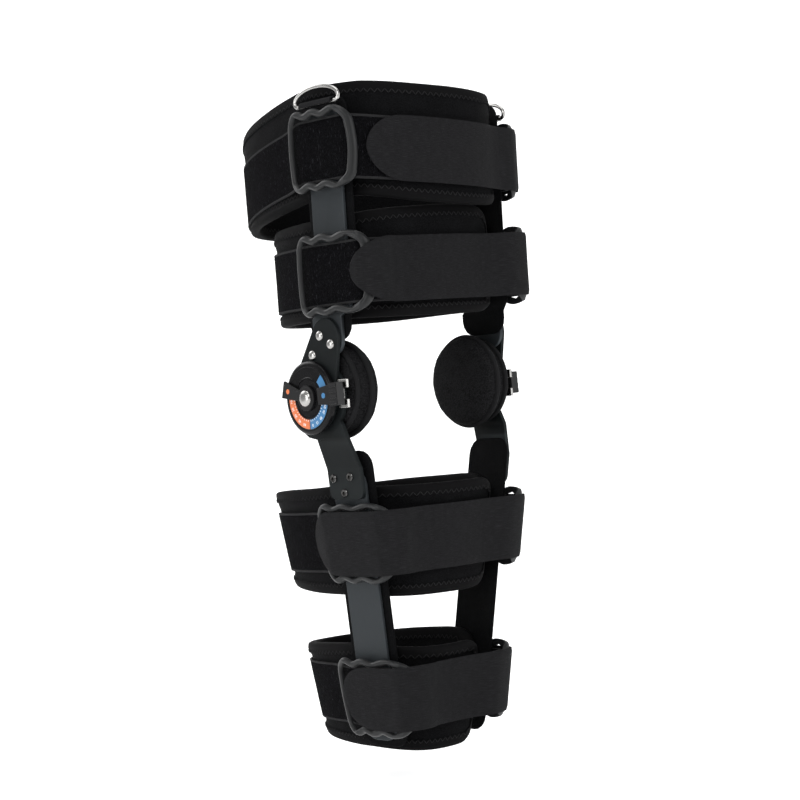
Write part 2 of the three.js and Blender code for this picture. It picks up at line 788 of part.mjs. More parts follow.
// The flexion stop: a grip with ridges that stands past the dial's rim and reaches over its face.
function tabGeometry() {
  const angle = rad(180 - TAB_ANGLE);
  const over = new THREE.Shape();
  const inside = STOP_HUB_RADIUS + TAB_HUB_GAP;
  over.moveTo(inside, -TAB_HALF * 0.7);
  over.lineTo(TAB_REACH, -TAB_HALF);
  over.lineTo(TAB_REACH, TAB_HALF);
  over.lineTo(inside, TAB_HALF * 0.7);
  over.closePath();
  let solid = solidOf(hingePlate(over, STOP_INNER, STOP_THICK));
  const gripFrom = DIAL_RADIUS + GAP * 2;
  const gripLength = TAB_REACH - gripFrom;
  const grip = new THREE.BoxGeometry(STOP_INNER + STOP_THICK - DIAL_INNER, gripLength, TAB_HALF * 2);
  grip.translate((DIAL_INNER + STOP_INNER + STOP_THICK) / 2, -gripFrom - gripLength / 2, 0);
  solid = solid.add(solidOf(grip));
  const pitch = (TAB_HALF * 2) / TAB_RIDGES;
  for (let i = 0; i < TAB_RIDGES; i += 1) {
    const ridge = new THREE.BoxGeometry(TAB_RIDGE_HEIGHT, gripLength - TAB_RIDGE_MARGIN, pitch * 0.5);
    const z = -TAB_HALF + pitch * (i + 0.5);
    ridge.translate(STOP_INNER + STOP_THICK, -gripFrom - gripLength / 2, z);
    solid = solid.add(solidOf(ridge));
  }
  return geometryFromSolid(solid).rotateX(-angle);
}

// The catch in front of the hub: a steel bracket with two fingers.
function catchGeometry() {
  const from = UPPER_HUB_RADIUS + CATCH_AWAY;
  const low = -CATCH_HEIGHT * 0.42;
  const shape = new THREE.Shape();
  shape.moveTo(from, low);
  shape.lineTo(from + CATCH_LENGTH, low);
  shape.lineTo(from + CATCH_LENGTH, low + CATCH_HEIGHT * 0.3);
  shape.lineTo(from + CATCH_LENGTH * 0.5, low + CATCH_HEIGHT * 0.3);
  shape.lineTo(from + CATCH_LENGTH * 0.5, low + CATCH_HEIGHT * 0.7);
  shape.lineTo(from + CATCH_LENGTH, low + CATCH_HEIGHT * 0.7);
  shape.lineTo(from + CATCH_LENGTH, low + CATCH_HEIGHT);
  shape.lineTo(from, low + CATCH_HEIGHT);
  shape.closePath();
  return hingePlate(shape, UPPER_ARM_INNER, ARM_THICK * 0.8);
}

function rivetGeometry(radius, height) {
  const profile = [
    [0, 0],
    [0, radius],
    [height * 0.6, radius * 0.8],
    [height, 0],
  ];
  return turned(profile, SMALL_SIDES);
}

// A ridged round pad: it fills the space between the hinge and the knee.
function kneePadGeometry() {
  const outer = HINGE_HALF - GAP;
  const depth = outer - KNEE_PAD_FACE;
  const step = (share) => KNEE_PAD_FACE + depth * share;
  const profile = [
    [step(0), 0],
    [step(0), KNEE_PAD_RADIUS * 0.8],
    [step(0.06), KNEE_PAD_RADIUS * 0.93],
    [step(0.2), KNEE_PAD_RADIUS],
    [step(0.45), KNEE_PAD_RADIUS],
    [step(0.55), KNEE_PAD_RADIUS * 0.9],
    [step(0.7), KNEE_PAD_RADIUS * 0.94],
    [step(1), KNEE_PAD_RADIUS * 0.86],
    [step(1), 0],
  ];
  return turned(profile, ROUND_SIDES).translate(0, -KNEE_PAD_FORWARD, KNEE_PAD_RISE);
}

const barRowsUpper = upperBarRows();
const barRowsLower = lowerBarRows();

// The ring's foot lies this far above the middle of the top strap.
const WEB_GAP = 0.35;
const RING_FOOT = FRAME_HEIGHT / 2 + RING_WIRE / 2 + WEB_GAP + TAB_WEB_THICK + 2 * GAP;

// Where a ring's foot lies on its upright
function ringRow(side) {
  const { x, y } = cuffs.thigh_upper.barPoint;
  return rowAt(barRowsUpper, cuffHeight(cuffs.thigh_upper, side * Math.abs(x), y) + RING_FOOT);
}

// A D-shaped wire ring: a straight foot, and a bow above it.
function ringGeometry(side) {
  const row = ringRow(side);
  const half = RING_WIDTH / 2 - RING_WIRE / 2;
  const tall = RING_HEIGHT - RING_WIRE;
  const path = [];
  for (let i = 0; i <= RING_STEPS; i += 1) {
    const angle = (Math.PI * i) / RING_STEPS;
    path.push([half * Math.cos(angle), tall * 0.25 + tall * 0.75 * Math.sin(angle)]);
  }
  path.push([-half, tall * 0.08], [-half * 0.9, 0], [half * 0.9, 0], [half, tall * 0.08]);
  const off = BAR_THICK / 2 + GAP + TAB_WEB_THICK + WEB_GAP + RING_WIRE / 2;
  const count = path.length;
  const rows = path.map(([along, up], i) => {
    const before = path[(i + count - 1) % count];
    const after = path[(i + 1) % count];
    const length = Math.hypot(after[0] - before[0], after[1] - before[1]);
    const outA = (after[1] - before[1]) / length;
    const outU = -(after[0] - before[0]) / length;
    const loop = [];
    for (let k = 0; k < 6; k += 1) {
      const turn = (Math.PI * 2 * k) / 6;
      const wide = (RING_WIRE / 2) * Math.cos(turn);
      const deep = (RING_WIRE / 2) * Math.sin(turn);
      const spot = { ...row, z: row.z + up + outU * wide };
      loop.push(platePoint(spot, along + outA * wide, off + deep));
    }
    return loop;
  });
  return loft(rows, true);
}

// The webbing tab: a hairpin of tape round the ring's foot, against the upright.
function ringTabGeometry(side) {
  const row = ringRow(side);
  const hole = RING_WIRE / 2 + WEB_GAP;
  const skin = hole + TAB_WEB_THICK;
  const shape = new THREE.Shape();
  shape.moveTo(-skin, -TAB_WEB_LENGTH);
  shape.lineTo(-hole, -TAB_WEB_LENGTH);
  shape.lineTo(-hole, 0);
  shape.absarc(0, 0, hole, Math.PI, 0, true);
  shape.lineTo(hole, -RING_WIRE * 0.5);
  shape.lineTo(skin, -RING_WIRE * 0.5);
  shape.lineTo(skin, 0);
  shape.absarc(0, 0, skin, 0, Math.PI, false);
  shape.closePath();
  const options = { depth: TAB_WEB_WIDTH, bevelEnabled: false, curveSegments: 4 };
  const geometry = new THREE.ExtrudeGeometry(shape, options).translate(0, 0, -TAB_WEB_WIDTH / 2);
  const middle = BAR_THICK / 2 + GAP + skin;
  const cos = Math.cos(row.turn);
  const sin = Math.sin(row.turn);
  const [x, y, z] = platePoint(row, 0, middle);
  const place = new THREE.Matrix4().set(cos, 0, sin, x, -sin, 0, cos, y, 0, 1, 0, z, 0, 0, 0, 1);
  return welded(geometry.applyMatrix4(place));
}

function mesh(name, geometry, look) {
  const item = new THREE.Mesh(geometry, new THREE.MeshStandardMaterial(COLOURS[look]));
  item.name = name;
  return item;
}

function addCuff(group, cuff) {
  group.add(mesh(`pad_${cuff.name}`, padGeometry(cuff), 'pad'));
  group.add(mesh(`loop_strap_${cuff.name}`, loopStrapGeometry(cuff), 'loop'));
  group.add(mesh(`hook_strap_${cuff.name}`, hookStrapGeometry(cuff), 'hook'));
  for (const [label, side] of Object.entries(SIDES)) {
    group.add(mesh(`strap_frame_${cuff.name}_${label}`, strapFrameGeometry(cuff, side), 'frame'));
  }
}

// A small turned piece standing on a plate at a row, with its axis along the plate's face.
function addFastener(group, name, geometry, row, along, off, side, look) {
  const [x, y, z] = platePoint(row, along, off);
  const item = mesh(name, geometry, look);
  item.position.set(side * x, y, z);
  item.rotation.set(0, 0, side === MEDIAL ? -row.turn : Math.PI + row.turn);
  group.add(item);
}

function addThighSide(group, label, side) {
  const bar = plateGeometry(barRowsUpper, BAR_WIDTH, BAR_THICK, 0, BAR_ROUND);
  group.add(mesh(`upper_bar_${label}`, onSide(bar, side), 'bar'));
  const linerTop = barRowsUpper[barRowsUpper.length - 1].z + LINER_PAST;
  const rows = linerRows(barRowsUpper, KNEE_PAD_RADIUS + LINER_PAST, linerTop);
  const liner = plateGeometry(rows, LINER_WIDTH, LINER_THICK, LINER_OFF, BAR_ROUND);
  group.add(mesh(`upper_liner_${label}`, onSide(liner, side), 'liner'));
  group.add(mesh(`upper_arm_${label}`, onSide(upperArmGeometry(), side), 'arm'));
  group.add(mesh(`dial_${label}`, onSide(dialGeometry(), side), 'dial'));
  group.add(mesh(`axle_${label}`, onSide(axleGeometry(), side), 'steel'));
  group.add(mesh(`hinge_catch_${label}`, onSide(catchGeometry(), side), 'steel'));
  group.add(mesh(`knee_pad_${label}`, onSide(kneePadGeometry(), side), 'pad'));
  group.add(mesh(`ring_${label}`, onSide(ringGeometry(side), side), 'steel'));
  group.add(mesh(`ring_tab_${label}`, onSide(ringTabGeometry(side), side), 'webbing'));
  const face = { x: UPPER_ARM_INNER + ARM_THICK + GAP, y: 0, z: 0, turn: 0 };
  ARM_RIVETS.forEach((spot, i) => {
    const row = { ...face, y: -spot.forward, z: spot.up };
    const geometry = rivetGeometry(RIVET_RADIUS, RIVET_HEIGHT);
    addFastener(group, `arm_rivet_${label}_${i + 1}`, geometry, row, 0, 0, side, 'steel');
  });
}

function addShinSide(group, label, side) {
  const bar = plateGeometry(barRowsLower, BAR_WIDTH, BAR_THICK, 0, BAR_ROUND);
  group.add(mesh(`lower_bar_${label}`, onSide(bar, side), 'bar'));
  const rows = linerRows(barRowsLower, barRowsLower[0].z - LINER_PAST, -KNEE_PAD_RADIUS - LINER_PAST);
  const liner = plateGeometry(rows, LINER_WIDTH, LINER_THICK, LINER_OFF, BAR_ROUND);
  group.add(mesh(`lower_liner_${label}`, onSide(liner, side), 'liner'));
  group.add(mesh(`lower_arm_${label}`, onSide(lowerArmGeometry(barRowsLower), side), 'arm'));
  const off = BAR_THICK / 2 + GAP + ARM_THICK + 2 * GAP;
  ARM_SCREWS.forEach((spot, i) => {
    const row = rowAt(barRowsLower, spot.up);
    const along = (-spot.forward - row.y) / Math.cos(row.turn);
    const geometry = rivetGeometry(SCREW_RADIUS, SCREW_HEIGHT);
    addFastener(group, `arm_screw_${label}_${i + 1}`, geometry, row, along, off, side, 'arm');
  });
}

const brace = new THREE.Group();
const thigh = new THREE.Group();
const shin = new THREE.Group();
brace.add(thigh, shin);
addCuff(thigh, cuffs.thigh_upper);
addCuff(thigh, cuffs.thigh_lower);
addCuff(shin, cuffs.shin_upper);
addCuff(shin, cuffs.shin_lower);
for (const [label, side] of Object.entries(SIDES)) {
  addThighSide(thigh, label, side);
  addShinSide(shin, label, side);
  const stops = new THREE.Group();
  stops.add(mesh(`extension_stop_${label}`, onSide(pointerGeometry(), side), 'stop'));
  stops.add(mesh(`flexion_stop_${label}`, onSide(tabGeometry(), side), 'stop'));
  brace.add(stops);
}

export default brace;
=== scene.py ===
"""A hinged knee immobilizer: four padded cuffs on two uprights with dial hinges.

Lengths in the tables are in millimetres and become metres in the meshes. The origin is the centre
of the knee, +Z is up, -Y is the front of the leg and -X is its outer side.
"""

import math

import bmesh
import bpy
import numpy as np
from mathutils import Matrix, Vector, noise


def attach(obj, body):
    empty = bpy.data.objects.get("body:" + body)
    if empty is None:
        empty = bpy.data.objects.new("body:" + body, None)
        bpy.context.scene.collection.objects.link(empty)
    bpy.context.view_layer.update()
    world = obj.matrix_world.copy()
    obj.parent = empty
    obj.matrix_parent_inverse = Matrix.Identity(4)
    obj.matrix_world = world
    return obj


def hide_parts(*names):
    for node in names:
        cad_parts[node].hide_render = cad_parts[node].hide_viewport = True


bl_info = {
    "name": "Hinged Knee Immobilizer",
    "version": (1, 0, 0),
    "blender": (4, 5, 0),
    "location": "View3D > Sidebar > Knee Brace",
    "description": "Builds the cuffs, straps, uprights and dial hinges of a knee immobilizer",
    "category": "Add Mesh",
}

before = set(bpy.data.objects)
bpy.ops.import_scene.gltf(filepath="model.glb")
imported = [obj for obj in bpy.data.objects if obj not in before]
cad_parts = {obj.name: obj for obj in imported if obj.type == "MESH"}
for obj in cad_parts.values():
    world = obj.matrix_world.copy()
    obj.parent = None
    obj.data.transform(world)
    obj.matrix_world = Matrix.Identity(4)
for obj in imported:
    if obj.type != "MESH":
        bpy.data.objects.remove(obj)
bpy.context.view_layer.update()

MM = 0.001
SIDES = {"lateral": -1, "medial": 1}

# One row for each cuff, in millimetres: half its width, its reach to the front and to the back of
# its widest place, its height, how it falls behind and before the upright and towards the side,
# the upright's place, where the woven strap ends, and its edges at the front, sides and back
CUFFS = {
    "thigh_upper": dict(
        body="thigh", half=76, front=67, back=148, wide=-11, z=181, slope=0.14, dip=0.1,
        tilt=0.04, bar=-27, hook_end=-32, top=(48, 48, 44), bottom=(37, 32, 26),
    ),
    "thigh_lower": dict(
        body="thigh", half=75, front=48, back=113, wide=-14, z=90, slope=0, dip=0,
        tilt=-0.02, bar=-26, hook_end=-15, top=(46, 41, 37), bottom=(34, 32, 33),
    ),
    "shin_upper": dict(
        body="shin", half=62, front=51, back=126, wide=-1, z=-110, slope=0.03, dip=-0.03,
        tilt=0, bar=-16, hook_end=36, top=(39, 41, 38), bottom=(42, 40, 34),
    ),
    "shin_lower": dict(
        body="shin", half=45, front=43, back=102, wide=5, z=-228, slope=0.04, dip=-0.04,
        tilt=0, bar=-7, hook_end=22, top=(34, 38, 35), bottom=(43, 41, 35),
    ),
}
SQUARENESS = 2.3
LEVEL_REACH = 24
NEAR_HINGE = "thigh_lower"
CUFF_STEPS = 720
NORMAL_REACH = 2

# Stack of layers at an upright, in millimetres
GAP = 0.3
LINER_GAP = 1.4
STRAP_GAP = 0.8
FRAME_GAP = 2.6
HOOK_GAP = 1
LOOP_GAP = 0.5
PAD_THICK = 6
PAD_CORNER = 26
PAD_MOUTH = 8
PAD_TUCK = 2
STRAP_WIDTH = 50
LOOP_THICK = 2
HOOK_THICK = 1.4
HOOK_MARGIN = 1.5
LOOP_MARGIN = 3
HOOK_PAST = 16
STRAP_RISE = 36
STRAP_FLAT_PAST = 2
BAR_WIDTH = 34
BAR_THICK = 3
BAR_EASE = 8
LINER_WIDTH = 47
LINER_THICK = 2
FRAME_WIDTH = 58
FRAME_BACK = 3
FRAME_HEIGHT = 61
FRAME_RAIL = 5.4
FRAME_THICK = 3
FRAME_CORNER = 11
FRAME_WAVE = 1.2
FRAME_BUMPS = 2
LOOP_OFF = LOOP_GAP
FRAME_OFF = LOOP_OFF + LOOP_THICK + FRAME_GAP
HOOK_OFF = LOOP_OFF + LOOP_THICK + HOOK_GAP

# Hinge, in millimetres
ARM_THICK = 3
HINGE_STEP = 1.6
ARM_TOP_RADIUS = 15.5
ARM_TOP_FORWARD = 18
ARM_TOP_HEIGHT = 43
UPPER_HUB_RADIUS = 25.5
LOWER_BAR_HEAD = -54
UPPER_BAR_FOOT = 30
UPPER_BAR_PAST = 34
LOWER_BAR_PAST = 34
AXLE_RADIUS = 3.6
AXLE_GAP = 0.35
AXLE_HEAD_RADIUS = 6.2
AXLE_HEAD_HEIGHT = 2.6
DIAL_RADIUS = 27.5
DIAL_THICK = 4.6
STOP_THICK = 2
KNEE_PAD_RADIUS = 36
KNEE_PAD_FACE = 54
KNEE_PAD_FORWARD = 9
KNEE_PAD_RISE = 5
RING_WIDTH = 49
RING_HEIGHT = 15.5
RING_WIRE = 3
TAB_WEB_WIDTH = 34
TAB_WEB_THICK = 1.2
WEB_GAP = 0.35
RING_FOOT = FRAME_HEIGHT / 2 + RING_WIRE / 2 + WEB_GAP + TAB_WEB_THICK + 2 * GAP
ARM_RIVETS = ((13, 45.5), (25, 38.5), (3, 31.5))
ARM_SCREWS = ((8.5, -61), (26, -60), (17.5, -72))


class Cuff:
    """The outer line of one cuff's pad and the places on it, measured along it from the front."""

    def __init__(self, name, row):
        self.name = name
        self.__dict__.update(row)
        power = 2 / SQUARENESS
        angle = np.linspace(0, 2 * math.pi, CUFF_STEPS + 1)
        across, along = np.sin(angle), np.cos(angle)
        reach = np.where(along > 0, self.front, self.back)
        self.x = -self.half * np.sign(across) * np.abs(across) ** power
        self.y = self.wide - reach * np.sign(along) * np.abs(along) ** power
        steps = np.hypot(np.diff(self.x), np.diff(self.y))
        self.s = np.concatenate([[0], np.cumsum(steps)])
        self.round = self.s[-1]
        self.bar_at = self.s[np.argmax(self.y >= self.bar)]
        self.bar_x, self.bar_y, nx, ny = self.on_line(self.bar_at)
        self.turn = max(math.atan2(-ny, -nx) - math.radians(BAR_EASE), 0)
        self.taper = 0
        self.bar_normal = (nx, ny)

    def on_line(self, s):
        """The place at a length round the cuff, in millimetres, and the way out of the pad."""
        wanted = s % self.round
        i = min(max(int(np.searchsorted(self.s, wanted)), 1), CUFF_STEPS)
        share = (wanted - self.s[i - 1]) / (self.s[i] - self.s[i - 1])
        before, after = (i - 1 - NORMAL_REACH) % CUFF_STEPS, (i + NORMAL_REACH) % CUFF_STEPS
        dx, dy = self.x[after] - self.x[before], self.y[after] - self.y[before]
        length = math.hypot(dx, dy)
        x = self.x[i - 1] + (self.x[i] - self.x[i - 1]) * share
        y = self.y[i - 1] + (self.y[i] - self.y[i - 1]) * share
        return x, y, -dy / length, dx / length

    def from_bar(self, s):
        half = self.round / 2
        return abs((s + half) % self.round - half) - self.bar_at

    def lift(self, s):
        """How far a strap stands off the pad: flat over the upright, then taut to the pad."""
        stack = LINER_GAP + LINER_THICK + BAR_THICK + GAP + STRAP_GAP
        flat = BAR_WIDTH / 2 + STRAP_FLAT_PAST
        away = self.from_bar(s)
        inside = min(max(away, -flat), flat)
        x, y, nx, ny = self.on_line(self.bar_at + inside)
        face = (-math.cos(self.turn), -math.sin(self.turn))
        drop = (self.bar_x - x) * face[0] + (self.bar_y - y) * face[1]
        over = (stack + drop) / (nx * face[0] + ny * face[1])
        beyond = abs(away) - flat
        if beyond <= 0:
            return over
        share = min(beyond / STRAP_RISE, 1)
        return over * (1 - share) ** 2 * (1 + share)

    def point(self, s, height, off):
        """A point in metres at a length round the cuff, a height and a distance off the pad."""
        x, y, nx, ny = self.on_line(s)
        lean = height - self.side_drop(x)
        if self.name == NEAR_HINGE:
            lean = max(lean, 0)
        out = off + self.taper * lean
        x, y = x + nx * out, y + ny * out
        return Vector((x * MM, y * MM, (self.height(x, y) + height) * MM))

    def side_drop(self, x):
        """How far the cuff lies below its lateral side, by where it is along X."""
        return self.tilt * (x + self.half)

    def height(self, x, y):
        along = y - self.bar
        beyond = max(abs(along) - LEVEL_REACH, 0)
        fall = self.slope if along > 0 else self.dip
        return self.z - fall * beyond - self.side_drop(x)

    def blend(self, s, values):
        """Mixes values given for the front, the sides and the back."""
        front, side, back = values
        y = self.on_line(s)[1]
        ahead = y < self.wide
        share = min(((y - self.wide) / (self.front if ahead else self.back)) ** 2, 1)
        return side + ((front if ahead else back) - side) * share

    def bar_row(self):
        off = LINER_GAP + LINER_THICK + GAP + BAR_THICK / 2
        x = -self.bar_x + math.cos(self.turn) * off
        y = self.bar_y - math.sin(self.turn) * off
        return dict(z=self.z, x=x, y=y, turn=self.turn)


def make_cuffs():
    made = {name: Cuff(name, row) for name, row in CUFFS.items()}
    for low, high in (("thigh_lower", "thigh_upper"), ("shin_lower", "shin_upper")):
        pair = made[low], made[high]
        turn = (pair[0].turn + pair[1].turn) / 2
        for cuff in pair:
            cuff.turn = turn
        a, b = pair[0].bar_row(), pair[1].bar_row()
        for cuff in pair:
            nx, ny = cuff.bar_normal
            cuff.taper = (-nx * (b["x"] - a["x"]) + ny * (b["y"] - a["y"])) / (b["z"] - a["z"])
    return made


cuffs = make_cuffs()


def between(a, b, z):
    share = (z - a["z"]) / (b["z"] - a["z"])
    row = {key: a[key] + (b[key] - a[key]) * share for key in ("x", "y", "turn")}
    return dict(row, z=z)


def row_at(rows, z):
    i = 1
    while i < len(rows) - 1 and rows[i]["z"] < z:
        i += 1
    return between(rows[i - 1], rows[i], z)


HINGE_BAR_X = cuffs["thigh_lower"].bar_row()["x"] + HINGE_STEP
HINGE_HALF = HINGE_BAR_X - ARM_THICK / 2
UPPER_ARM_INNER = HINGE_HALF + ARM_THICK + GAP
DIAL_INNER = UPPER_ARM_INNER + ARM_THICK + GAP
DIAL_FACE = DIAL_INNER + DIAL_THICK
STOP_INNER = DIAL_FACE + GAP
AXLE_HEAD_INNER = STOP_INNER + STOP_THICK + GAP


def upper_bar_rows():
    low, high = cuffs["thigh_lower"].bar_row(), cuffs["thigh_upper"].bar_row()
    foot = dict(z=UPPER_BAR_FOOT, x=HINGE_BAR_X, y=-ARM_TOP_FORWARD, turn=0)
    arm_top = dict(foot, z=ARM_TOP_HEIGHT + ARM_TOP_RADIUS)
    strap_foot = dict(low, z=low["z"] - STRAP_WIDTH / 2)
    return [foot, arm_top, strap_foot, low, high, between(low, high, high["z"] + UPPER_BAR_PAST)]


def lower_bar_rows():
    high, low = cuffs["shin_upper"].bar_row(), cuffs["shin_lower"].bar_row()
    foot = between(high, low, low["z"] - LOWER_BAR_PAST)
    return [foot, low, high, between(high, low, LOWER_BAR_HEAD)]


UPPER_ROWS = upper_bar_rows()
LOWER_ROWS = lower_bar_rows()


def plate_point(row, along, off, side):
    """A point on an upright: towards the back along its width, and off its middle plane."""
    cos, sin = math.cos(row["turn"]), math.sin(row["turn"])
    x = row["x"] + cos * off + sin * along
    y = row["y"] - sin * off + cos * along
    return Vector((side * x * MM, y * MM, row["z"] * MM))


def hinge_point(depth, forward, up, side):
    """A point in the hinge's own directions: out from the knee, forward and up."""
    return Vector((side * depth * MM, -forward * MM, up * MM))


def smooth(share):
    held = min(max(share, 0), 1)
    return held * held * (3 - 2 * held)


def corner_inset(distance, radius):
    if distance >= radius:
        return 0
    return radius - math.sqrt(radius**2 - (radius - distance) ** 2)


# Meshes

# Points nearer than this are one, and edges shorter than this are dropped, in metres
MERGE = 1e-6
DEGENERATE = 1e-7


def linked(name, data):
    item = bpy.data.objects.new(name, data)
    bpy.context.scene.collection.objects.link(item)
    return item


def new_object(name, mesh, material, body, sharp=40, replaced=()):
    """Links a mesh as a piece with a material, riding on a body and standing for CAD nodes."""
    for face in mesh.polygons:
        face.use_smooth = True
    mesh.set_sharp_from_angle(angle=math.radians(sharp))
    item = linked(name, mesh)
    mesh.materials.append(material)
    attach(item, body)
    if replaced:
        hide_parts(*replaced)
    return item


def replacing(node, mesh, material, body, sharp=50):
    """Links a mesh as the piece that stands for one CAD node."""
    return new_object(f"visual_{node}", mesh, material, body, sharp, [node])


def weighted(item):
    modifier = item.modifiers.new("Weighted normals", "WEIGHTED_NORMAL")
    modifier.keep_sharp = True
    modifier.weight = 80
    return item


def raw_mesh(name, points, faces):
    mesh = bpy.data.meshes.new(name)
    mesh.from_pydata(points, [], faces)
    return mesh


def opened(mesh, merge=False):
    bm = bmesh.new()
    bm.from_mesh(mesh)
    if merge:
        bmesh.ops.remove_doubles(bm, verts=bm.verts, dist=MERGE)
    return bm


def closed(bm, mesh):
    """Writes an opened mesh back with its faces turned outwards."""
    bmesh.ops.recalc_face_normals(bm, faces=bm.faces)
    bm.to_mesh(mesh)
    bm.free()
    return mesh


def outward(mesh):
    return closed(opened(mesh), mesh)


def tube_faces(base, rings, count, endless=False):
    """Faces round rings of points numbered from base, closed at both ends or endless."""
    faces = []
    for i in range(rings if endless else rings - 1):
        here, after = base + i * count, base + (i + 1) % rings * count
        for j in range(count):
            k = (j + 1) % count
            faces.append((here + j, here + k, after + k, after + j))
    if not endless:
        last = base + (rings - 1) * count
        faces.append(tuple(range(base, base + count))[::-1])
        faces.append(tuple(range(last, last + count)))
    return faces


def grid_mesh(name, rows, endless=False, uvs=None):
    """A closed mesh through rows of closed loops. uvs gives (u, v) for each point of each row."""
    points = [p for row in rows for p in row]
    mesh = raw_mesh(name, points, tube_faces(0, len(rows), len(rows[0]), endless))
    if uvs is not None:
        layer = mesh.uv_layers.new(name="weave")
        flat = [uv for row in uvs for uv in row]
        for loop in mesh.loops:
            layer.data[loop.index].uv = flat[loop.vertex_index]
    return outward(mesh)


def joined(name, meshes):
    """One mesh from several, which are removed."""
    bm = bmesh.new()
    for mesh in meshes:
        bm.from_mesh(mesh)
        bpy.data.meshes.remove(mesh)
    return closed(bm, bpy.data.meshes.new(name))


def turned_mesh(name, profile, sides=48):
    """A turned solid round +X. The profile holds (distance along, radius) in millimetres."""
    points, faces = [], []
    count = len(profile)
    for i in range(sides):
        angle = 2 * math.pi * i / sides
        cos, sin = math.cos(angle), math.sin(angle)
        points += [(a * MM, r * MM * cos, r * MM * sin) for a, r in profile]
        here, after = i * count, (i + 1) % sides * count
        faces += [(here + j, here + j + 1, after + j + 1, after + j) for j in range(count - 1)]
    mesh = raw_mesh(name, points, faces)
    bm = opened(mesh, merge=True)
    bmesh.ops.dissolve_degenerate(bm, edges=bm.edges, dist=DEGENERATE)
    return closed(bm, mesh)


def facing(side):
    """Turns a piece made along +X towards one side of the leg."""
    return Matrix.Identity(4) if side > 0 else Matrix.Rotation(math.pi, 4, "Z")


def axes_matrix(first, second, third, place):
    """Turns +X, +Y and +Z to three directions and moves the origin to a place."""
    return Matrix((*zip(first, second, third, place), (0, 0, 0, 1)))


def mesh_of_curve(name, curve):
    """The mesh of a curve or a text, which is removed."""
    item = linked(name, curve)
    bpy.context.view_layer.update()
    made = item.evaluated_get(bpy.context.evaluated_depsgraph_get())
    mesh = bpy.data.meshes.new_from_object(made)
    bpy.data.objects.remove(item)
    bpy.data.curves.remove(curve)
    return mesh


def outline_mesh(name, loops, thick, bevel, depth, side):
    """A bevelled plate in the hinge plane from outlines of (forward, up) points in millimetres."""
    curve = bpy.data.curves.new(name, "CURVE")
    curve.dimensions = "2D"
    curve.fill_mode = "BOTH"
    curve.extrude = (thick / 2 - bevel) * MM
    curve.bevel_depth = bevel * MM
    curve.bevel_resolution = 2
    curve.offset = -bevel * MM
    for loop in loops:
        spline = curve.splines.new("POLY")
        spline.points.add(len(loop) - 1)
        for point, (forward, up) in zip(spline.points, loop):
            point.co = (forward * MM, up * MM, 0, 1)
        spline.use_cyclic_u = True
    mesh = mesh_of_curve(name, curve)
    middle = side * (depth + thick / 2) * MM
    mesh.transform(Matrix(((0, 0, side, middle), (-1, 0, 0, 0), (0, 1, 0, 0), (0, 0, 0, 1))))
    return closed(opened(mesh, merge=True), mesh)


def circle(radius, forward=0, up=0, steps=64, start=0, end=360):
    """Points of an arc in the hinge plane, in millimetres."""
    whole = end - start >= 360
    count = steps if whole else steps + 1
    angles = [math.radians(start + (end - start) * i / steps) for i in range(count)]
    return [(forward + radius * math.cos(a), up + radius * math.sin(a)) for a in angles]


def two_circles(hub, forward, up, radius):
    distance = math.hypot(forward, up)
    direction = math.degrees(math.atan2(up, forward))
    opening = math.degrees(math.acos((hub - radius) / distance))
    big = circle(hub, start=direction + opening, end=direction - opening + 360, steps=48)
    small = circle(radius, forward, up, 32, direction - opening, direction + opening)
    return big + small


def softened(node, width):
    """A copy of a CAD node's mesh with its sharp edges rounded, in millimetres."""
    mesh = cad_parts[node].data.copy()
    mesh.materials.clear()
    bm = opened(mesh, merge=True)
    level, sharp = math.radians(1), math.radians(35)
    bmesh.ops.dissolve_limit(bm, angle_limit=level, verts=bm.verts, edges=bm.edges)
    edges = [e for e in bm.edges if len(e.link_faces) == 2 and e.calc_face_angle(0) > sharp]
    bmesh.ops.bevel(
        bm, geom=edges, offset=width * MM, offset_type="OFFSET", segments=3,
        profile=0.5, affect="EDGES", clamp_overlap=True,
    )
    return closed(bm, mesh)


def wire_mesh(name, path, radius, sides, normal):
    """An endless round wire along points in metres. The normal keeps it from twisting."""
    rows = []
    for i, point in enumerate(path):
        along = (path[(i + 1) % len(path)] - path[i - 1]).normalized()
        first = normal.cross(along).normalized()
        second = along.cross(first)
        rows.append([
            point + (first * math.cos(a) + second * math.sin(a)) * radius
            for a in (2 * math.pi * k / sides for k in range(sides))
        ])
    return grid_mesh(name, rows, endless=True)


# Materials


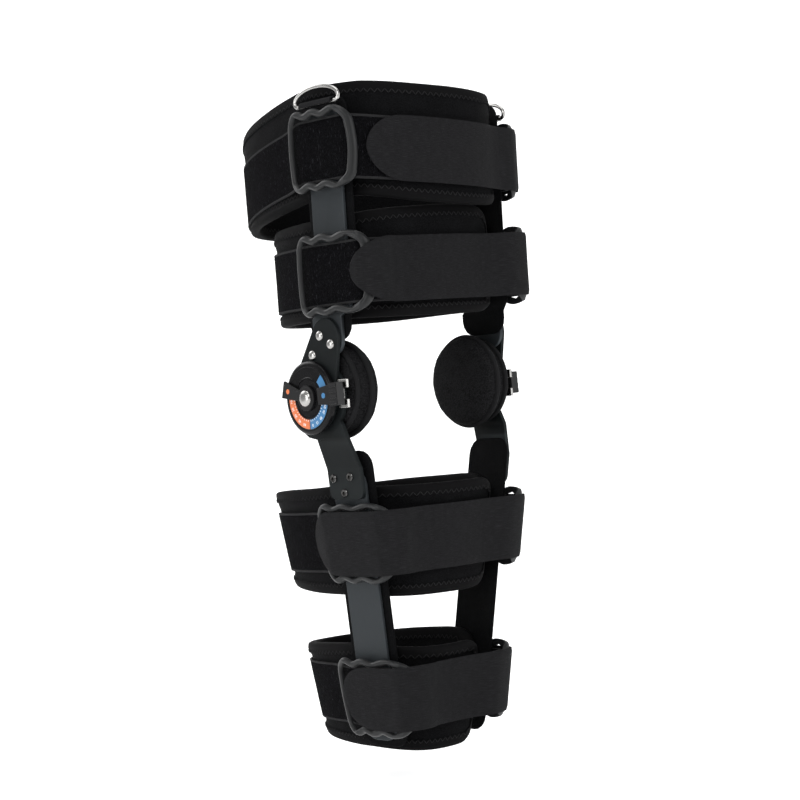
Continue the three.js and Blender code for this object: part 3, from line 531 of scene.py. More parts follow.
class Nodes:
    """A short way to add and link the nodes of one material."""

    def __init__(self, name):
        self.material = bpy.data.materials.new(name)
        self.material.use_nodes = True
        self.tree = self.material.node_tree
        self.shader = self.tree.nodes["Principled BSDF"]

    def add(self, kind, inputs=None, **settings):
        node = self.tree.nodes.new(kind)
        for key, value in settings.items():
            setattr(node, key, value)
        for key, value in (inputs or {}).items():
            self.set(node.inputs[key], value)
        return node

    def set(self, socket, value):
        if isinstance(value, bpy.types.NodeSocket):
            self.tree.links.new(value, socket)
        else:
            socket.default_value = value

    def math(self, operation, a, b=0.0):
        node = self.add("ShaderNodeMath", operation=operation)
        self.set(node.inputs[0], a)
        self.set(node.inputs[1], b)
        return node.outputs[0]

    def coordinates(self, kind="Object", stretch=(1, 1, 1)):
        source = self.add("ShaderNodeTexCoord").outputs[kind]
        return self.add("ShaderNodeMapping", {"Vector": source, "Scale": stretch}).outputs[0]

    def noise(self, scale, detail=2.0, roughness=0.5, kind="Object", stretch=(1, 1, 1)):
        where = self.coordinates(kind, stretch)
        inputs = {"Vector": where, "Scale": scale, "Detail": detail, "Roughness": roughness}
        return self.add("ShaderNodeTexNoise", inputs).outputs["Fac"]

    def mix(self, amount, a, b):
        node = self.add("ShaderNodeMix", data_type="RGBA")
        self.set(node.inputs["Factor"], amount)
        self.set(node.inputs[6], a)
        self.set(node.inputs[7], b)
        return node.outputs[2]

    def ramp(self, amount, low, high):
        node = self.add("ShaderNodeMapRange", {"From Min": low, "From Max": high})
        self.set(node.inputs["Value"], amount)
        return node.outputs["Result"]

    def tint(self, base, amount, low, high, most, color):
        """Lays a colour over another where an amount is high, up to a share of most."""
        return self.mix(self.math("MULTIPLY", self.ramp(amount, low, high), most), base, color)

    def bump(self, height, strength, distance, below=None):
        inputs = {"Height": height, "Strength": strength, "Distance": distance}
        if below is not None:
            inputs["Normal"] = below
        return self.add("ShaderNodeBump", inputs).outputs["Normal"]

    def finish(self, color, roughness, normal=None, **uniform):
        self.set(self.shader.inputs["Base Color"], color)
        self.set(self.shader.inputs["Roughness"], roughness)
        if normal is not None:
            self.set(self.shader.inputs["Normal"], normal)
        for key, value in uniform.items():
            self.shader.inputs[key.replace("_", " ")].default_value = value
        return self.material


def shade(color, factor):
    return tuple(min(part * factor, 1) for part in color[:3]) + (1,)


def knit_material(name, color, cell=1500, depth=0.0005):
    """Fine knitted cover: small loops, soft unevenness and a faint sheen."""
    n = Nodes(name)
    where = n.coordinates(stretch=(1, 1, 1.3))
    loops = n.add("ShaderNodeTexVoronoi", {"Vector": where, "Scale": cell}).outputs["Distance"]
    patches = n.noise(60, 4, 0.6)
    fine = n.noise(2500, 2, 0.5)
    color_mix = n.mix(n.ramp(loops, 0.1, 0.7), shade(color, 2.2), shade(color, 0.4))
    color_mix = n.tint(color_mix, patches, 0.35, 0.7, 0.35, shade(color, 1.9))
    height = n.math("ADD", n.math("MULTIPLY", loops, -0.8), n.math("MULTIPLY", fine, 0.4))
    normal = n.bump(patches, 0.25, 0.003)
    normal = n.bump(height, 0.7, depth, normal)
    rough = n.ramp(fine, 0.0, 1.0)
    rough = n.math("ADD", n.math("MULTIPLY", rough, 0.15), 0.72)
    return n.finish(color_mix, rough, normal, Specular_IOR_Level=0.035)


def pile_material(name, color):
    """Deep loop pile: clumped fibres that swallow the light, with painted highlights on fibre tips.
    """
    n = Nodes(name)
    clumps = n.noise(700, 5, 0.75)
    fibres = n.noise(4200, 3, 0.8)
    lint = n.noise(1600, 2, 0.4, stretch=(1, 1, 0.2))
    base = n.mix(n.ramp(clumps, 0.35, 0.75), shade(color, 0.35), shade(color, 1.8))
    # Painted highlight: bright specks where single fibre tips would catch the light
    base = n.mix(n.ramp(fibres, 0.56, 0.74), base, shade(color, 14))
    base = n.tint(base, lint, 0.64, 0.74, 0.6, shade(color, 16))
    normal = n.bump(clumps, 0.9, 0.0012)
    normal = n.bump(fibres, 1.0, 0.0006, normal)
    return n.finish(base, 0.97, normal, Specular_IOR_Level=0.02)


def woven_material(name, color, pitch=0.75, contrast=1.0):
    """Plain woven tape laid along a strap: ribs across it and finer threads along it."""
    n = Nodes(name)
    where = n.coordinates("UV", (1 / MM / pitch, 1 / MM / pitch, 1))
    split = n.add("ShaderNodeSeparateXYZ", {"Vector": where})
    turn = 2 * math.pi
    across = n.math("SINE", n.math("MULTIPLY", split.outputs["X"], turn))
    along = n.math("SINE", n.math("MULTIPLY", split.outputs["Y"], turn))
    weave = n.math("MULTIPLY", across, along)
    uneven = n.noise(90, 4, 0.6, "UV", (2.2, 1, 1))
    threads = n.noise(900, 2, 0.5, "UV", (0.25, 3, 1))
    hairs = n.noise(1400, 3, 0.7, "UV", (3, 0.5, 1))
    base = n.mix(n.ramp(weave, -1, 1), shade(color, 0.4), shade(color, 1.7))
    base = n.tint(base, uneven, 0.3, 0.75, 0.4 * contrast, shade(color, 1.8))
    base = n.tint(base, threads, 0.5, 0.72, 0.55 * contrast, shade(color, 3.0))
    base = n.tint(base, hairs, 0.55, 0.75, 0.55 * contrast, shade(color, 3.4))
    height = n.math("ADD", n.math("MULTIPLY", weave, 0.5), threads)
    normal = n.bump(uneven, 0.15, 0.002)
    normal = n.bump(height, 0.55, 0.0003, normal)
    return n.finish(base, 0.82, normal, Specular_IOR_Level=0.06)


def plastic_material(name, color, gloss=0.42, shine=0.24):
    """Moulded plastic with fine grain and painted highlights along its sharp edges."""
    n = Nodes(name)
    grain = n.noise(2600, 2, 0.5)
    marks = n.noise(160, 6, 0.7)
    edges = n.add("ShaderNodeNewGeometry").outputs["Pointiness"]
    base = n.tint(color, marks, 0.45, 0.7, 0.3, shade(color, 1.6))
    # Painted highlight: convex edges, found by pointiness, are lightened as if light caught them
    base = n.tint(base, edges, 0.52, 0.6, 0.5, shade(color, 3.0))
    rough = n.math("ADD", n.math("MULTIPLY", marks, 0.2), gloss - 0.1)
    normal = n.bump(grain, 0.12, 0.0002)
    return n.finish(base, rough, normal, Specular_IOR_Level=shine)


def coated_metal_material(name, color, gloss=0.38, metallic=0.1, shine=0.1):
    """Satin coated metal: faint brushing along the upright, painted edge highlights, small
    scratches.
    """
    n = Nodes(name)
    brushing = n.noise(900, 3, 0.6, stretch=(1, 1, 0.03))
    clouds = n.noise(45, 4, 0.55)
    scratches = n.noise(700, 1, 0.3, stretch=(1, 0.04, 1))
    edges = n.add("ShaderNodeNewGeometry").outputs["Pointiness"]
    base = n.mix(n.math("MULTIPLY", brushing, 0.35), color, shade(color, 1.5))
    base = n.tint(base, clouds, 0.4, 0.7, 0.3, shade(color, 1.5))
    # Painted highlight: convex edges, found by pointiness, are lightened as if light caught them
    base = n.tint(base, edges, 0.51, 0.58, 0.7, shade(color, 7))
    base = n.tint(base, scratches, 0.73, 0.78, 0.3, shade(color, 2.5))
    rough = n.math("ADD", n.math("MULTIPLY", n.ramp(brushing, 0.2, 0.8), 0.18), gloss)
    normal = n.bump(brushing, 0.06, 0.0002)
    return n.finish(base, rough, normal, Metallic=metallic, Specular_IOR_Level=shine)


def steel_material(name, color):
    n = Nodes(name)
    fine = n.noise(1500, 3, 0.6, stretch=(1, 0.2, 1))
    marks = n.noise(240, 5, 0.7)
    base = n.tint(color, marks, 0.4, 0.75, 0.35, shade(color, 0.55))
    rough = n.math("ADD", n.math("MULTIPLY", fine, 0.14), 0.16)
    normal = n.bump(fine, 0.05, 0.0001)
    return n.finish(base, rough, normal, Metallic=1.0)


def print_material(name, color):
    """Printed paint on the dial, slightly uneven."""
    n = Nodes(name)
    marks = n.noise(500, 4, 0.7)
    base = n.tint(color, marks, 0.5, 0.8, 0.25, shade(color, 0.6))
    return n.finish(base, 0.38, n.bump(marks, 0.05, 0.0001))


def thread_material(name, color):
    n = Nodes(name)
    twist = n.noise(3500, 2, 0.6)
    base = n.mix(twist, shade(color, 0.6), shade(color, 1.6))
    return n.finish(base, 0.8, n.bump(twist, 0.4, 0.0002), Specular_IOR_Level=0.1)


def floor_material(name):
    n = Nodes(name)
    patches = n.noise(3, 3, 0.5)
    base = n.mix(n.ramp(patches, 0.3, 0.7), (0.87, 0.875, 0.88, 1), (0.9, 0.9, 0.905, 1))
    return n.finish(base, 0.85, None, Emission_Color=(1, 1, 1, 1), Emission_Strength=0.42)


# Cuff pads

# Where the free foam swells: past the strap and beside the liner, in millimetres
SWELL_MARGIN = 1.5
SWELL_ROOM = 2
SWELL_BESIDE = 2
SWELL_RISE = 10
EDGE_WANDER = 0.6
# Spacing of points along a pad, its border and a strap, in millimetres, and points across a pad
PAD_STEP = 3.2
BORDER_STEP = 2.5
STRAP_STEP = 2.2
PAD_ROWS = 26
BINDING_SKIN = 0.55
BINDING_PUCKER = 0.22
# How far the seams stand off the pad's faces
SEAM_OFF = 0.75
# Rings of one stitch: where along it, how wide and how high, in its own length and radius
STITCH = ((0, 0.35, -0.5), (0.22, 1, 0.25), (0.78, 1, 0.25), (1, 0.35, -0.5))
STITCH_SIDES = 6
STITCH_FLATNESS = 0.7


class PadShape:
    """One cuff's foam wrap with rounded ends: where its edges lie and how it bulges."""

    def __init__(self, cuff):
        self.cuff = cuff
        self.start = -(cuff.bar_at - LINER_WIDTH / 2 + PAD_TUCK)
        self.end = cuff.round + self.start - PAD_MOUTH

    def inset(self, s):
        return corner_inset(min(s - self.start, self.end - s), PAD_CORNER)

    def top(self, s):
        return self.cuff.blend(s, self.cuff.top) - self.inset(s)

    def foot(self, s):
        return -self.cuff.blend(s, self.cuff.bottom) + self.inset(s)

    def bulge(self, s, height, settings):
        """How far the face stands proud: free foam swells, strapped foam doesn't."""
        s = min(max(s, self.start), self.end)
        margin = STRAP_WIDTH / 2 + SWELL_MARGIN
        room = (self.top(s) if height > 0 else -self.foot(s)) - margin
        if room <= SWELL_ROOM or abs(height) <= margin:
            return 0
        share = (abs(height) - margin) / room
        crown = math.sin(math.pi * min(max(share, 0), 1)) ** 0.7
        beside = abs(self.cuff.from_bar(s)) - LINER_WIDTH / 2 - SWELL_BESIDE
        where = Vector((s * 0.035, height * 0.05, self.cuff.z * 0.1))
        ripple = 0.7 + 0.3 * noise.noise(where)
        return settings.swell / MM * crown * ripple * smooth(beside / SWELL_RISE)

    def wander(self, s, seed):
        """A small unevenness of the cut edge."""
        return EDGE_WANDER * noise.noise(Vector((s * 0.02, seed, self.cuff.z * 0.1)))

    def edges(self, s):
        return self.top(s) + self.wander(s, 1), self.foot(s) + self.wander(s, 2)

    def stations(self, step):
        corner = [PAD_CORNER * v for v in (0, 0.01, 0.04, 0.1, 0.18, 0.3, 0.45, 0.62, 0.8, 1)]
        start, end = self.start + PAD_CORNER, self.end - PAD_CORNER
        count = round((end - start) / step)
        middle = [start + (end - start) * i / count for i in range(1, count)]
        return [self.start + v for v in corner] + middle + [self.end - v for v in reversed(corner)]


def pad_mesh(shape, settings):
    """The foam: a crowned wrap, thinner towards its bound edges."""
    cuff = shape.cuff
    rows, uvs = [], []
    for s in shape.stations(PAD_STEP):
        top, foot = shape.edges(s)
        middle, half = (top + foot) / 2, (top - foot) / 2
        row, uv = [], []
        for face in (1, -1):
            for i in range(PAD_ROWS):
                share = -1 + 2 * (i + 0.5) / PAD_ROWS
                height = middle + face * share * half
                thin = corner_inset(half - abs(share * half), PAD_THICK / 2)
                out = shape.bulge(s, height, settings) if face > 0 else 0
                off = -thin + out if face > 0 else -PAD_THICK + thin
                row.append(cuff.point(s, height, off))
                uv.append((s * MM, height * MM))
        rows.append(row)
        uvs.append(uv)
    return grid_mesh(f"pad_{cuff.name}", rows, uvs=uvs)


def pad_border(shape, inward):
    """Places (s, height) round the pad's edge, a distance inside it, all the way round."""
    stations = shape.stations(BORDER_STEP)
    place = [(s, shape.edges(s)[0]) for s in stations]
    place += [(s, shape.edges(s)[1]) for s in reversed(stations)]
    moved = []
    count = len(place)
    for i, (s, height) in enumerate(place):
        before, after = place[(i - 1) % count], place[(i + 1) % count]
        ds, dh = after[0] - before[0], after[1] - before[1]
        length = math.hypot(ds, dh) or 1
        moved.append((s + dh / length * inward, height - ds / length * inward))
    return moved


def binding_mesh(shape, settings):
    """A folded tape that covers the pad's cut edge on both faces."""
    cuff = shape.cuff
    tape = settings.binding_width / MM
    steps = 5
    skin = BINDING_SKIN
    section = [(tape * (1 - i / 4), skin) for i in range(4)]
    for i in range(steps + 1):
        angle = math.pi * i / steps
        past = (PAD_THICK / 2 + skin) * 0.5 * math.sin(angle)
        section.append((0.4 - past, -PAD_THICK / 2 + (PAD_THICK / 2 + skin) * math.cos(angle)))
    section += [(tape * (i + 1) / 4, -PAD_THICK - skin) for i in range(4)]
    section += [(tape * (1 - i / 3) - 0.2, -PAD_THICK + 0.6) for i in range(3)]
    section.append((1.2, -PAD_THICK / 2))
    section += [(tape * (i + 1) / 3 - 0.2, -0.6) for i in range(3)]
    borders = {inward: pad_border(shape, inward) for inward in {round(p[0], 4) for p in section}}
    rows = []
    count = len(next(iter(borders.values())))
    for i in range(count):
        row = []
        for inward, off in section:
            s, height = borders[round(inward, 4)][i]
            held = min(max(s, shape.start - 1), shape.end + 1)
            swell = shape.bulge(s, height, settings) if off > -1 else 0
            pucker = BINDING_PUCKER * noise.noise(Vector((i * 0.7, inward, cuff.z)))
            row.append(cuff.point(held, height, off + swell + (pucker if off > 0 else 0)))
        rows.append(row)
    return grid_mesh(f"pad_binding_{cuff.name}", rows, endless=True)


def stitch_mesh(name, places, radius):
    """Short threads lying on a face, each from a start to an end, with the way out."""
    points, faces = [], []
    sides = STITCH_SIDES
    for start, end, out in places:
        along = (end - start).normalized()
        first = along.cross(out).normalized()
        up = first.cross(along)
        faces += tube_faces(len(points), len(STITCH), sides)
        for share, wide, lift in STITCH:
            middle = start.lerp(end, share) + up * radius * lift
            for k in range(sides):
                a = 2 * math.pi * k / sides
                round_it = first * math.cos(a) + up * math.sin(a) * STITCH_FLATNESS
                points.append(middle + round_it * radius * wide)
    return outward(raw_mesh(name, points, faces))


def pad_stitches(shape, settings):
    """A zigzag seam over the inner edge of the binding, on both faces of the pad."""
    cuff = shape.cuff
    tape = settings.binding_width / MM
    reaches = (settings.seam_past / MM, -settings.seam_inside / MM)
    edges = [pad_border(shape, tape + reach) for reach in reaches]
    count = len(edges[0])
    pitch = settings.seam_pitch / MM
    places = []
    for face, off in ((1, SEAM_OFF), (-1, -PAD_THICK - SEAM_OFF)):

        def place(edge, i):
            s, height = edges[edge][i % count]
            swell = shape.bulge(s, height, settings) if face > 0 else 0
            return cuff.point(s, height, off + swell)

        edge, last, travelled = 0, 0, 0
        for i in range(1, count + 1):
            here, before = edges[0][i % count], edges[0][i - 1]
            travelled += math.hypot(here[0] - before[0], here[1] - before[1])
            if travelled >= pitch:
                _, _, nx, ny = cuff.on_line(edges[0][i % count][0])
                out = Vector((nx, ny, 0)) * face
                places.append((place(edge, last), place(1 - edge, i), out))
                edge, last, travelled = 1 - edge, i, 0
    return stitch_mesh(f"pad_stitches_{cuff.name}", places, settings.thread_radius)


# Straps

# A pile strap's woven edge: how far in from the rim, and its share of the strap's thickness
SELVEDGE = ((0, 0.5), (0.3, 0.95), (1.2, 1.05), (1.9, 0.86), (2.6, 1))
SELVEDGE_WIDTH = 2.2
LOOP_FUZZ = 0.16
LOOP_WAVE = 0.35
# Where the points lie along a woven strap's rounded end, and the raised line beside its edges
HOOK_TIP_SHARES = (0.86, 0.72, 0.58, 0.45, 0.34, 0.24, 0.16, 0.1, 0.05, 0.02, 0.004, 0)
HOOK_RIDGE = 0.14
HOOK_RIDGE_FROM = 0.6
HOOK_RIDGE_TO = 2.2
HOOK_WAVE = 0.3


def path_length(cuff, start, end, off):
    """How long a strap is, where off(s) is the distance of its middle off the cuff's line."""
    places = [cuff.point(s, 0, off(s)) for s in np.linspace(start, end, 301)]
    return sum((b - a).length for a, b in zip(places, places[1:]))


def loop_strap_mesh(cuff):
    """The pile strap: a full band with a fuzzy face and thin raised selvedges."""
    rows, uvs = [], []
    half = (STRAP_WIDTH - LOOP_MARGIN) / 2
    outer = [(-half + inward, share) for inward, share in SELVEDGE]
    inside = [(half * v, 1) for v in np.linspace(-0.8, 0.8, 13)]
    profile = outer + inside + [(-h, o) for h, o in reversed(outer)]
    count = round(cuff.round / STRAP_STEP)
    for i in range(count):
        s = cuff.round * i / count
        inner = cuff.lift(s) + LOOP_OFF
        row, uv = [], []
        for height, share in profile:
            rough = LOOP_FUZZ if share == 1 else 0
            fuzz = rough * noise.noise(Vector((s * 0.5, height * 0.5, cuff.z)))
            wave = LOOP_WAVE * noise.noise(Vector((s * 0.02, 5, cuff.z)))
            place = height + wave * (height / half)
            row.append(cuff.point(s, place, inner + LOOP_THICK * share * 0.97 + fuzz - 0.08))
            uv.append((s * MM, height * MM))
        for height in (half - 0.4, 0, -half + 0.4):
            row.append(cuff.point(s, height, inner))
            uv.append((s * MM, height * MM))
        rows.append(row)
        uvs.append(uv)
    return grid_mesh(f"loop_strap_{cuff.name}", rows, endless=True, uvs=uvs)


def frame_lift(cuff, s):
    """How far a woven strap rises where it passes over a frame."""
    edge = FRAME_WIDTH / 2 + FRAME_RAIL
    away = abs(cuff.from_bar(s) - FRAME_BACK)
    rise = FRAME_OFF + FRAME_THICK + HOOK_GAP + GAP - HOOK_OFF
    return rise * (1 - smooth((away - edge) / (FRAME_RAIL * 2)))


def hook_off(cuff, s):
    reaches = s < 0 or cuff.hook_end > -FRAME_WIDTH / 2
    return cuff.lift(s) + HOOK_OFF + (frame_lift(cuff, s) if reaches else 0)


def hook_span(cuff):
    return -(cuff.bar_at + FRAME_WIDTH / 2 + HOOK_PAST), cuff.bar_at + cuff.hook_end


def hook_strap_mesh(cuff):
    """The woven strap on the front, with a rounded free end."""
    start, end = hook_span(cuff)
    full = STRAP_WIDTH / 2 - HOOK_MARGIN / 2
    body = np.linspace(start, end - full, round((end - full - start) / STRAP_STEP))
    tip = [end - full * share for share in HOOK_TIP_SHARES]
    rows, uvs = [], []
    shares = np.linspace(-1, 1, 15)
    for s in list(body) + tip:
        half = max(full - corner_inset(end - s, full), 0.6)
        inner = hook_off(cuff, s)
        row, uv = [], []
        for share in shares:
            near = half * (1 - abs(share))
            drop = HOOK_THICK * 0.5 * (1 - min(near / 0.8, 1)) ** 2
            ridge = HOOK_RIDGE if HOOK_RIDGE_FROM < near < HOOK_RIDGE_TO else 0
            wave = HOOK_WAVE * noise.noise(Vector((s * 0.015, share, cuff.z * 0.2)))
            off = inner + HOOK_THICK - drop + ridge + wave * 0.4
            row.append(cuff.point(s, share * half, off))
            uv.append((s * MM, share * half * MM))
        for share in (1, 0, -1):
            row.append(cuff.point(s, share * (half - 0.15), inner))
            uv.append((s * MM, share * half * MM))
        rows.append(row)
        uvs.append(uv)
    return grid_mesh(f"hook_strap_{cuff.name}", rows, uvs=uvs)


# Strap frames


def frame_outline(across=60, corner=9, rail=14):
    """The middle line of a strap frame, drawn flat, with a wavy top and foot and bowed sides."""
    w = (FRAME_WIDTH - FRAME_RAIL) / 2
    h = (FRAME_HEIGHT - FRAME_RAIL) / 2
    straight, upright = w - FRAME_CORNER, h - FRAME_CORNER

    def corner_points(end, centre, start):
        made = []
        for i in range(1, corner):
            angle = math.radians(start + 90 * i / corner)
            x = -straight + FRAME_CORNER * math.cos(angle)
            made.append((end * x, end * (centre + FRAME_CORNER * math.sin(angle))))
        return made

    points = []
    for end in (1, -1):
        for i in range(across + 1):
            x = end * straight * (1 - 2 * i / across)
            wave = FRAME_WAVE * math.cos(math.pi * FRAME_BUMPS * x / straight)
            points.append((x, end * (h + wave - FRAME_WAVE)))
        points += corner_points(end, upright, 90)
        for i in range(rail + 1):
            y = end * upright * (1 - 2 * i / rail)
            bow = 1 - (y / upright) ** 2
            points.append((-end * (w + FRAME_WAVE * bow), y))
        points += corner_points(end, -upright, 180)
    return points


# The small round notches in the window's corners: how far they reach, how wide and where they are
FRAME_NOTCH = 1.3
FRAME_NOTCH_WIDE = 1.5
FRAME_NOTCH_INSET = 0.5
# A frame's section: across its rail and out from its foot, as shares of its width and thickness
FRAME_SECTION = (
    (-0.5, 0.0), (-0.47, 0.3), (-0.38, 0.62), (-0.25, 0.87), (-0.1, 1.0), (0.1, 1.0),
    (0.25, 0.87), (0.38, 0.62), (0.47, 0.3), (0.5, 0.0), (0.3, -0.06), (-0.3, -0.06),
)


def frame_mesh(cuff, label):
    outline = frame_outline()
    count = len(outline)
    place = cuff.bar_at + FRAME_BACK
    middle = place if label == "lateral" else cuff.round - place
    notch_x = FRAME_WIDTH / 2 - FRAME_CORNER - FRAME_NOTCH_INSET
    rows = []
    for i, (x, y) in enumerate(outline):
        before, after = outline[(i - 1) % count], outline[(i + 1) % count]
        length = math.hypot(after[0] - before[0], after[1] - before[1])
        out_x, out_y = (after[1] - before[1]) / length, -(after[0] - before[0]) / length
        beside = abs(abs(x) - notch_x) if abs(y) > FRAME_HEIGHT / 4 else FRAME_WIDTH
        notch = FRAME_NOTCH * math.exp(-((beside / FRAME_NOTCH_WIDE) ** 2))
        row = []
        for share, deep in FRAME_SECTION:
            edge = FRAME_RAIL * share + (notch if share < -0.2 else 0)
            s = middle + x + out_x * edge
            up = y + out_y * edge
            off = cuff.lift(s) + FRAME_OFF + FRAME_THICK * max(deep, 0)
            row.append(cuff.point(s, up, off))
        rows.append(row)
    return grid_mesh(f"strap_frame_{cuff.name}_{label}", rows, endless=True)


# Hinges

# A dial's face from the hole to its rim: (how far below the face, radius), in millimetres
DIAL_LINE = (
    (0.4, 8.8), (0, 9.3), (0, 13.6), (0.45, 13.9), (0.45, 14.6), (0, 14.9), (0, 15.3),
    (0.25, 15.6), (0.25, 23.2), (0, 23.5),
)
DIAL_EASE_FROM = 24.4
DIAL_EASE_DROP = 1.9
# The printed scale: its rings lie in a shallow groove of the face
SCALE_DEEP = 0.25
SCALE_THICK = 0.16
SCALE_INNER = 16
SCALE_OUTER = 23
NUMERAL_LIFT = 0.2
NUMERAL_RADIUS = 20.4
TICK_INNER = 16.2
TICK_OUTER = 17.4
TICK_HALF = 0.7
TICK_THICK = 0.1
PRINT_BEVEL = 0.04
MARK_THICK = 0.25
RIVET_RADIUS = 3.9
RIVET_HEIGHT = 1.9
SCREW_RADIUS = 3.2
SCREW_HEIGHT = 0.9
RING_CORNER = 0.25
# The seam across a ring's webbing, in millimetres
TAB_SEAM_DROP = 0.9
TAB_SEAM_OFF = 0.05
TAB_SEAM_MARGIN = 2
TAB_STITCH = 1.8
TAB_STITCHES = 11
TAB_THREAD = 0.8
KNEE_PAD_SPREAD = 2
# The cords in a knee pad's edge: radius and depth as shares of the pad's, and the cord's radius
KNEE_WELTS = ((0.965, 0.4, 2.2), (0.88, 0.86, 2))


def plate_out(row, side):
    """The way out of an upright."""
    return Vector((side * math.cos(row["turn"]), -math.sin(row["turn"]), 0))


def plate_frame(row, along, off, side):
    """A matrix whose +X axis points out of an upright at a place on it."""
    out, up = plate_out(row, side), Vector((0, 0, 1))
    return axes_matrix(out, out.cross(up), up, plate_point(row, along, off, side))


def dial_mesh(side):
    hole = AXLE_RADIUS + AXLE_GAP
    face = DIAL_THICK
    profile = [(0, hole), (face - 0.9, hole), (face - 0.4, hole + 0.5)]
    profile += [(face - below, radius) for below, radius in DIAL_LINE]
    for i in range(9):
        angle = math.radians(90 * i / 8)
        radius = DIAL_EASE_FROM + (DIAL_RADIUS - DIAL_EASE_FROM) * math.sin(angle)
        profile.append((face - DIAL_EASE_DROP * (1 - math.cos(angle)), radius))
    profile += [(0.5, DIAL_RADIUS), (0, DIAL_RADIUS - 0.5), (0, hole)]
    mesh = turned_mesh("dial", profile, 96)
    mesh.transform(facing(side) @ Matrix.Translation((DIAL_INNER * MM, 0, 0)))
    return mesh


def band_mesh(name, inner, outer, start, end, depth, thick, side):
    """A part of a ring on the dial's face, between two radii and two angles."""
    steps = max(6, round((end - start) / 3))
    loop = circle(outer, start=start, end=end, steps=steps)
    loop += list(reversed(circle(inner, start=start, end=end, steps=steps)))
    return outline_mesh(name, [loop], thick, PRINT_BEVEL, depth, side)


def text_mesh(name, words, size, angle, radius, depth, side):
    """A numeral standing on the dial with its top towards the rim."""
    curve = bpy.data.curves.new(name, "FONT")
    curve.body = words
    curve.size = size * MM
    curve.extrude = 0.05 * MM
    curve.align_x = "CENTER"
    curve.align_y = "CENTER"
    curve.resolution_u = 3
    mesh = mesh_of_curve(name, curve)
    a = math.radians(angle)
    top = Vector((0, -math.cos(a), math.sin(a)))
    out = Vector((side, 0, 0))
    centre = hinge_point(depth, radius * math.cos(a), radius * math.sin(a), side)
    mesh.transform(axes_matrix(top.cross(out), top, out, centre))
    return mesh


def disc_mesh(name, radius, thick, forward, up, depth, side):
    """A small dot of paint with a rounded rim, standing on a face."""
    profile = [(0, 0), (0, radius), (thick * 0.7, radius * 0.92), (thick, radius * 0.6)]
    profile.append((thick * 1.05, 0))
    mesh = turned_mesh(name, profile, 20)
    place = Matrix.Translation(hinge_point(depth, forward, up, side))
    mesh.transform(place @ facing(side))
    return mesh


def domed_mesh(name, radius, height, sides=32):
    profile = [(0, 0), (0, radius)]
    for i in range(7):
        angle = math.radians(90 * i / 6)
        wide = radius * math.cos(angle) ** 0.8 if i < 6 else 0
        profile.append((height * math.sin(angle) ** 0.9, wide))
    return turned_mesh(name, profile, sides)


def screw_mesh(name, radius, height):
    """A low screw head with a six-sided socket."""
    sides = 36
    rings = (
        (0, radius, False), (height * 0.55, radius, False), (height, radius * 0.82, False),
        (height, radius * 0.52, False), (height * 0.97, radius * 0.46, True),
        (0.1, radius * 0.44, True),
    )
    sixth = math.pi / 3
    points = []
    for along, size, hexed in rings:
        for k in range(sides):
            a = 2 * math.pi * k / sides
            reach = size
            if hexed:
                reach = size * math.cos(sixth / 2) / math.cos(a % sixth - sixth / 2)
            points.append((along * MM, reach * math.cos(a) * MM, reach * math.sin(a) * MM))
    return outward(raw_mesh(name, points, tube_faces(0, len(rings), sides)))


def ring_row(side):
    """Where a ring's foot lies on its upright."""
    cuff = cuffs["thigh_upper"]
    return row_at(UPPER_ROWS, cuff.height(side * abs(cuff.bar_x), cuff.bar_y) + RING_FOOT)


def ring_path(side):
    """The D ring's middle line, and the way out of the upright there."""
    row = ring_row(side)
    half = RING_WIDTH / 2 - RING_WIRE / 2
    tall = RING_HEIGHT - RING_WIRE
    corner = tall * RING_CORNER
    flat = []
    for i in range(37):
        angle = math.pi * i / 36
        flat.append((half * math.cos(angle), corner + (tall - corner) * math.sin(angle)))
    for i in range(1, 9):
        angle = math.pi / 2 * i / 8
        flat.append((-half + corner * (1 - math.cos(angle)), corner * (1 - math.sin(angle))))
    for i in range(1, 12):
        flat.append((-half + corner + (half - corner) * 2 * i / 12, 0))
    for i in range(8):
        angle = math.pi / 2 * i / 8
        flat.append((half - corner + corner * math.sin(angle), corner * (1 - math.cos(angle))))
    off = BAR_THICK / 2 + GAP + TAB_WEB_THICK + WEB_GAP + RING_WIRE / 2
    line = [plate_point(dict(row, z=row["z"] + up), along, off, side) for along, up in flat]
    return line, plate_out(row, side)


def tab_stitches(side, settings):
    """A row of stitches across the webbing that holds the ring."""
    row = ring_row(side)
    skin = RING_WIRE / 2 + WEB_GAP + TAB_WEB_THICK
    off = BAR_THICK / 2 + GAP + skin * 2 + TAB_SEAM_OFF
    seam = dict(row, z=row["z"] - TAB_SEAM_DROP)
    reach = TAB_WEB_WIDTH / 2 - TAB_SEAM_MARGIN
    places = [
        [plate_point(seam, place, off, side) for place in (along, along + TAB_STITCH)]
        + [plate_out(row, side)]
        for along in np.linspace(-reach, reach - TAB_STITCH, TAB_STITCHES)
    ]
    return stitch_mesh("ring_tab_stitches", places, settings.thread_radius * TAB_THREAD)


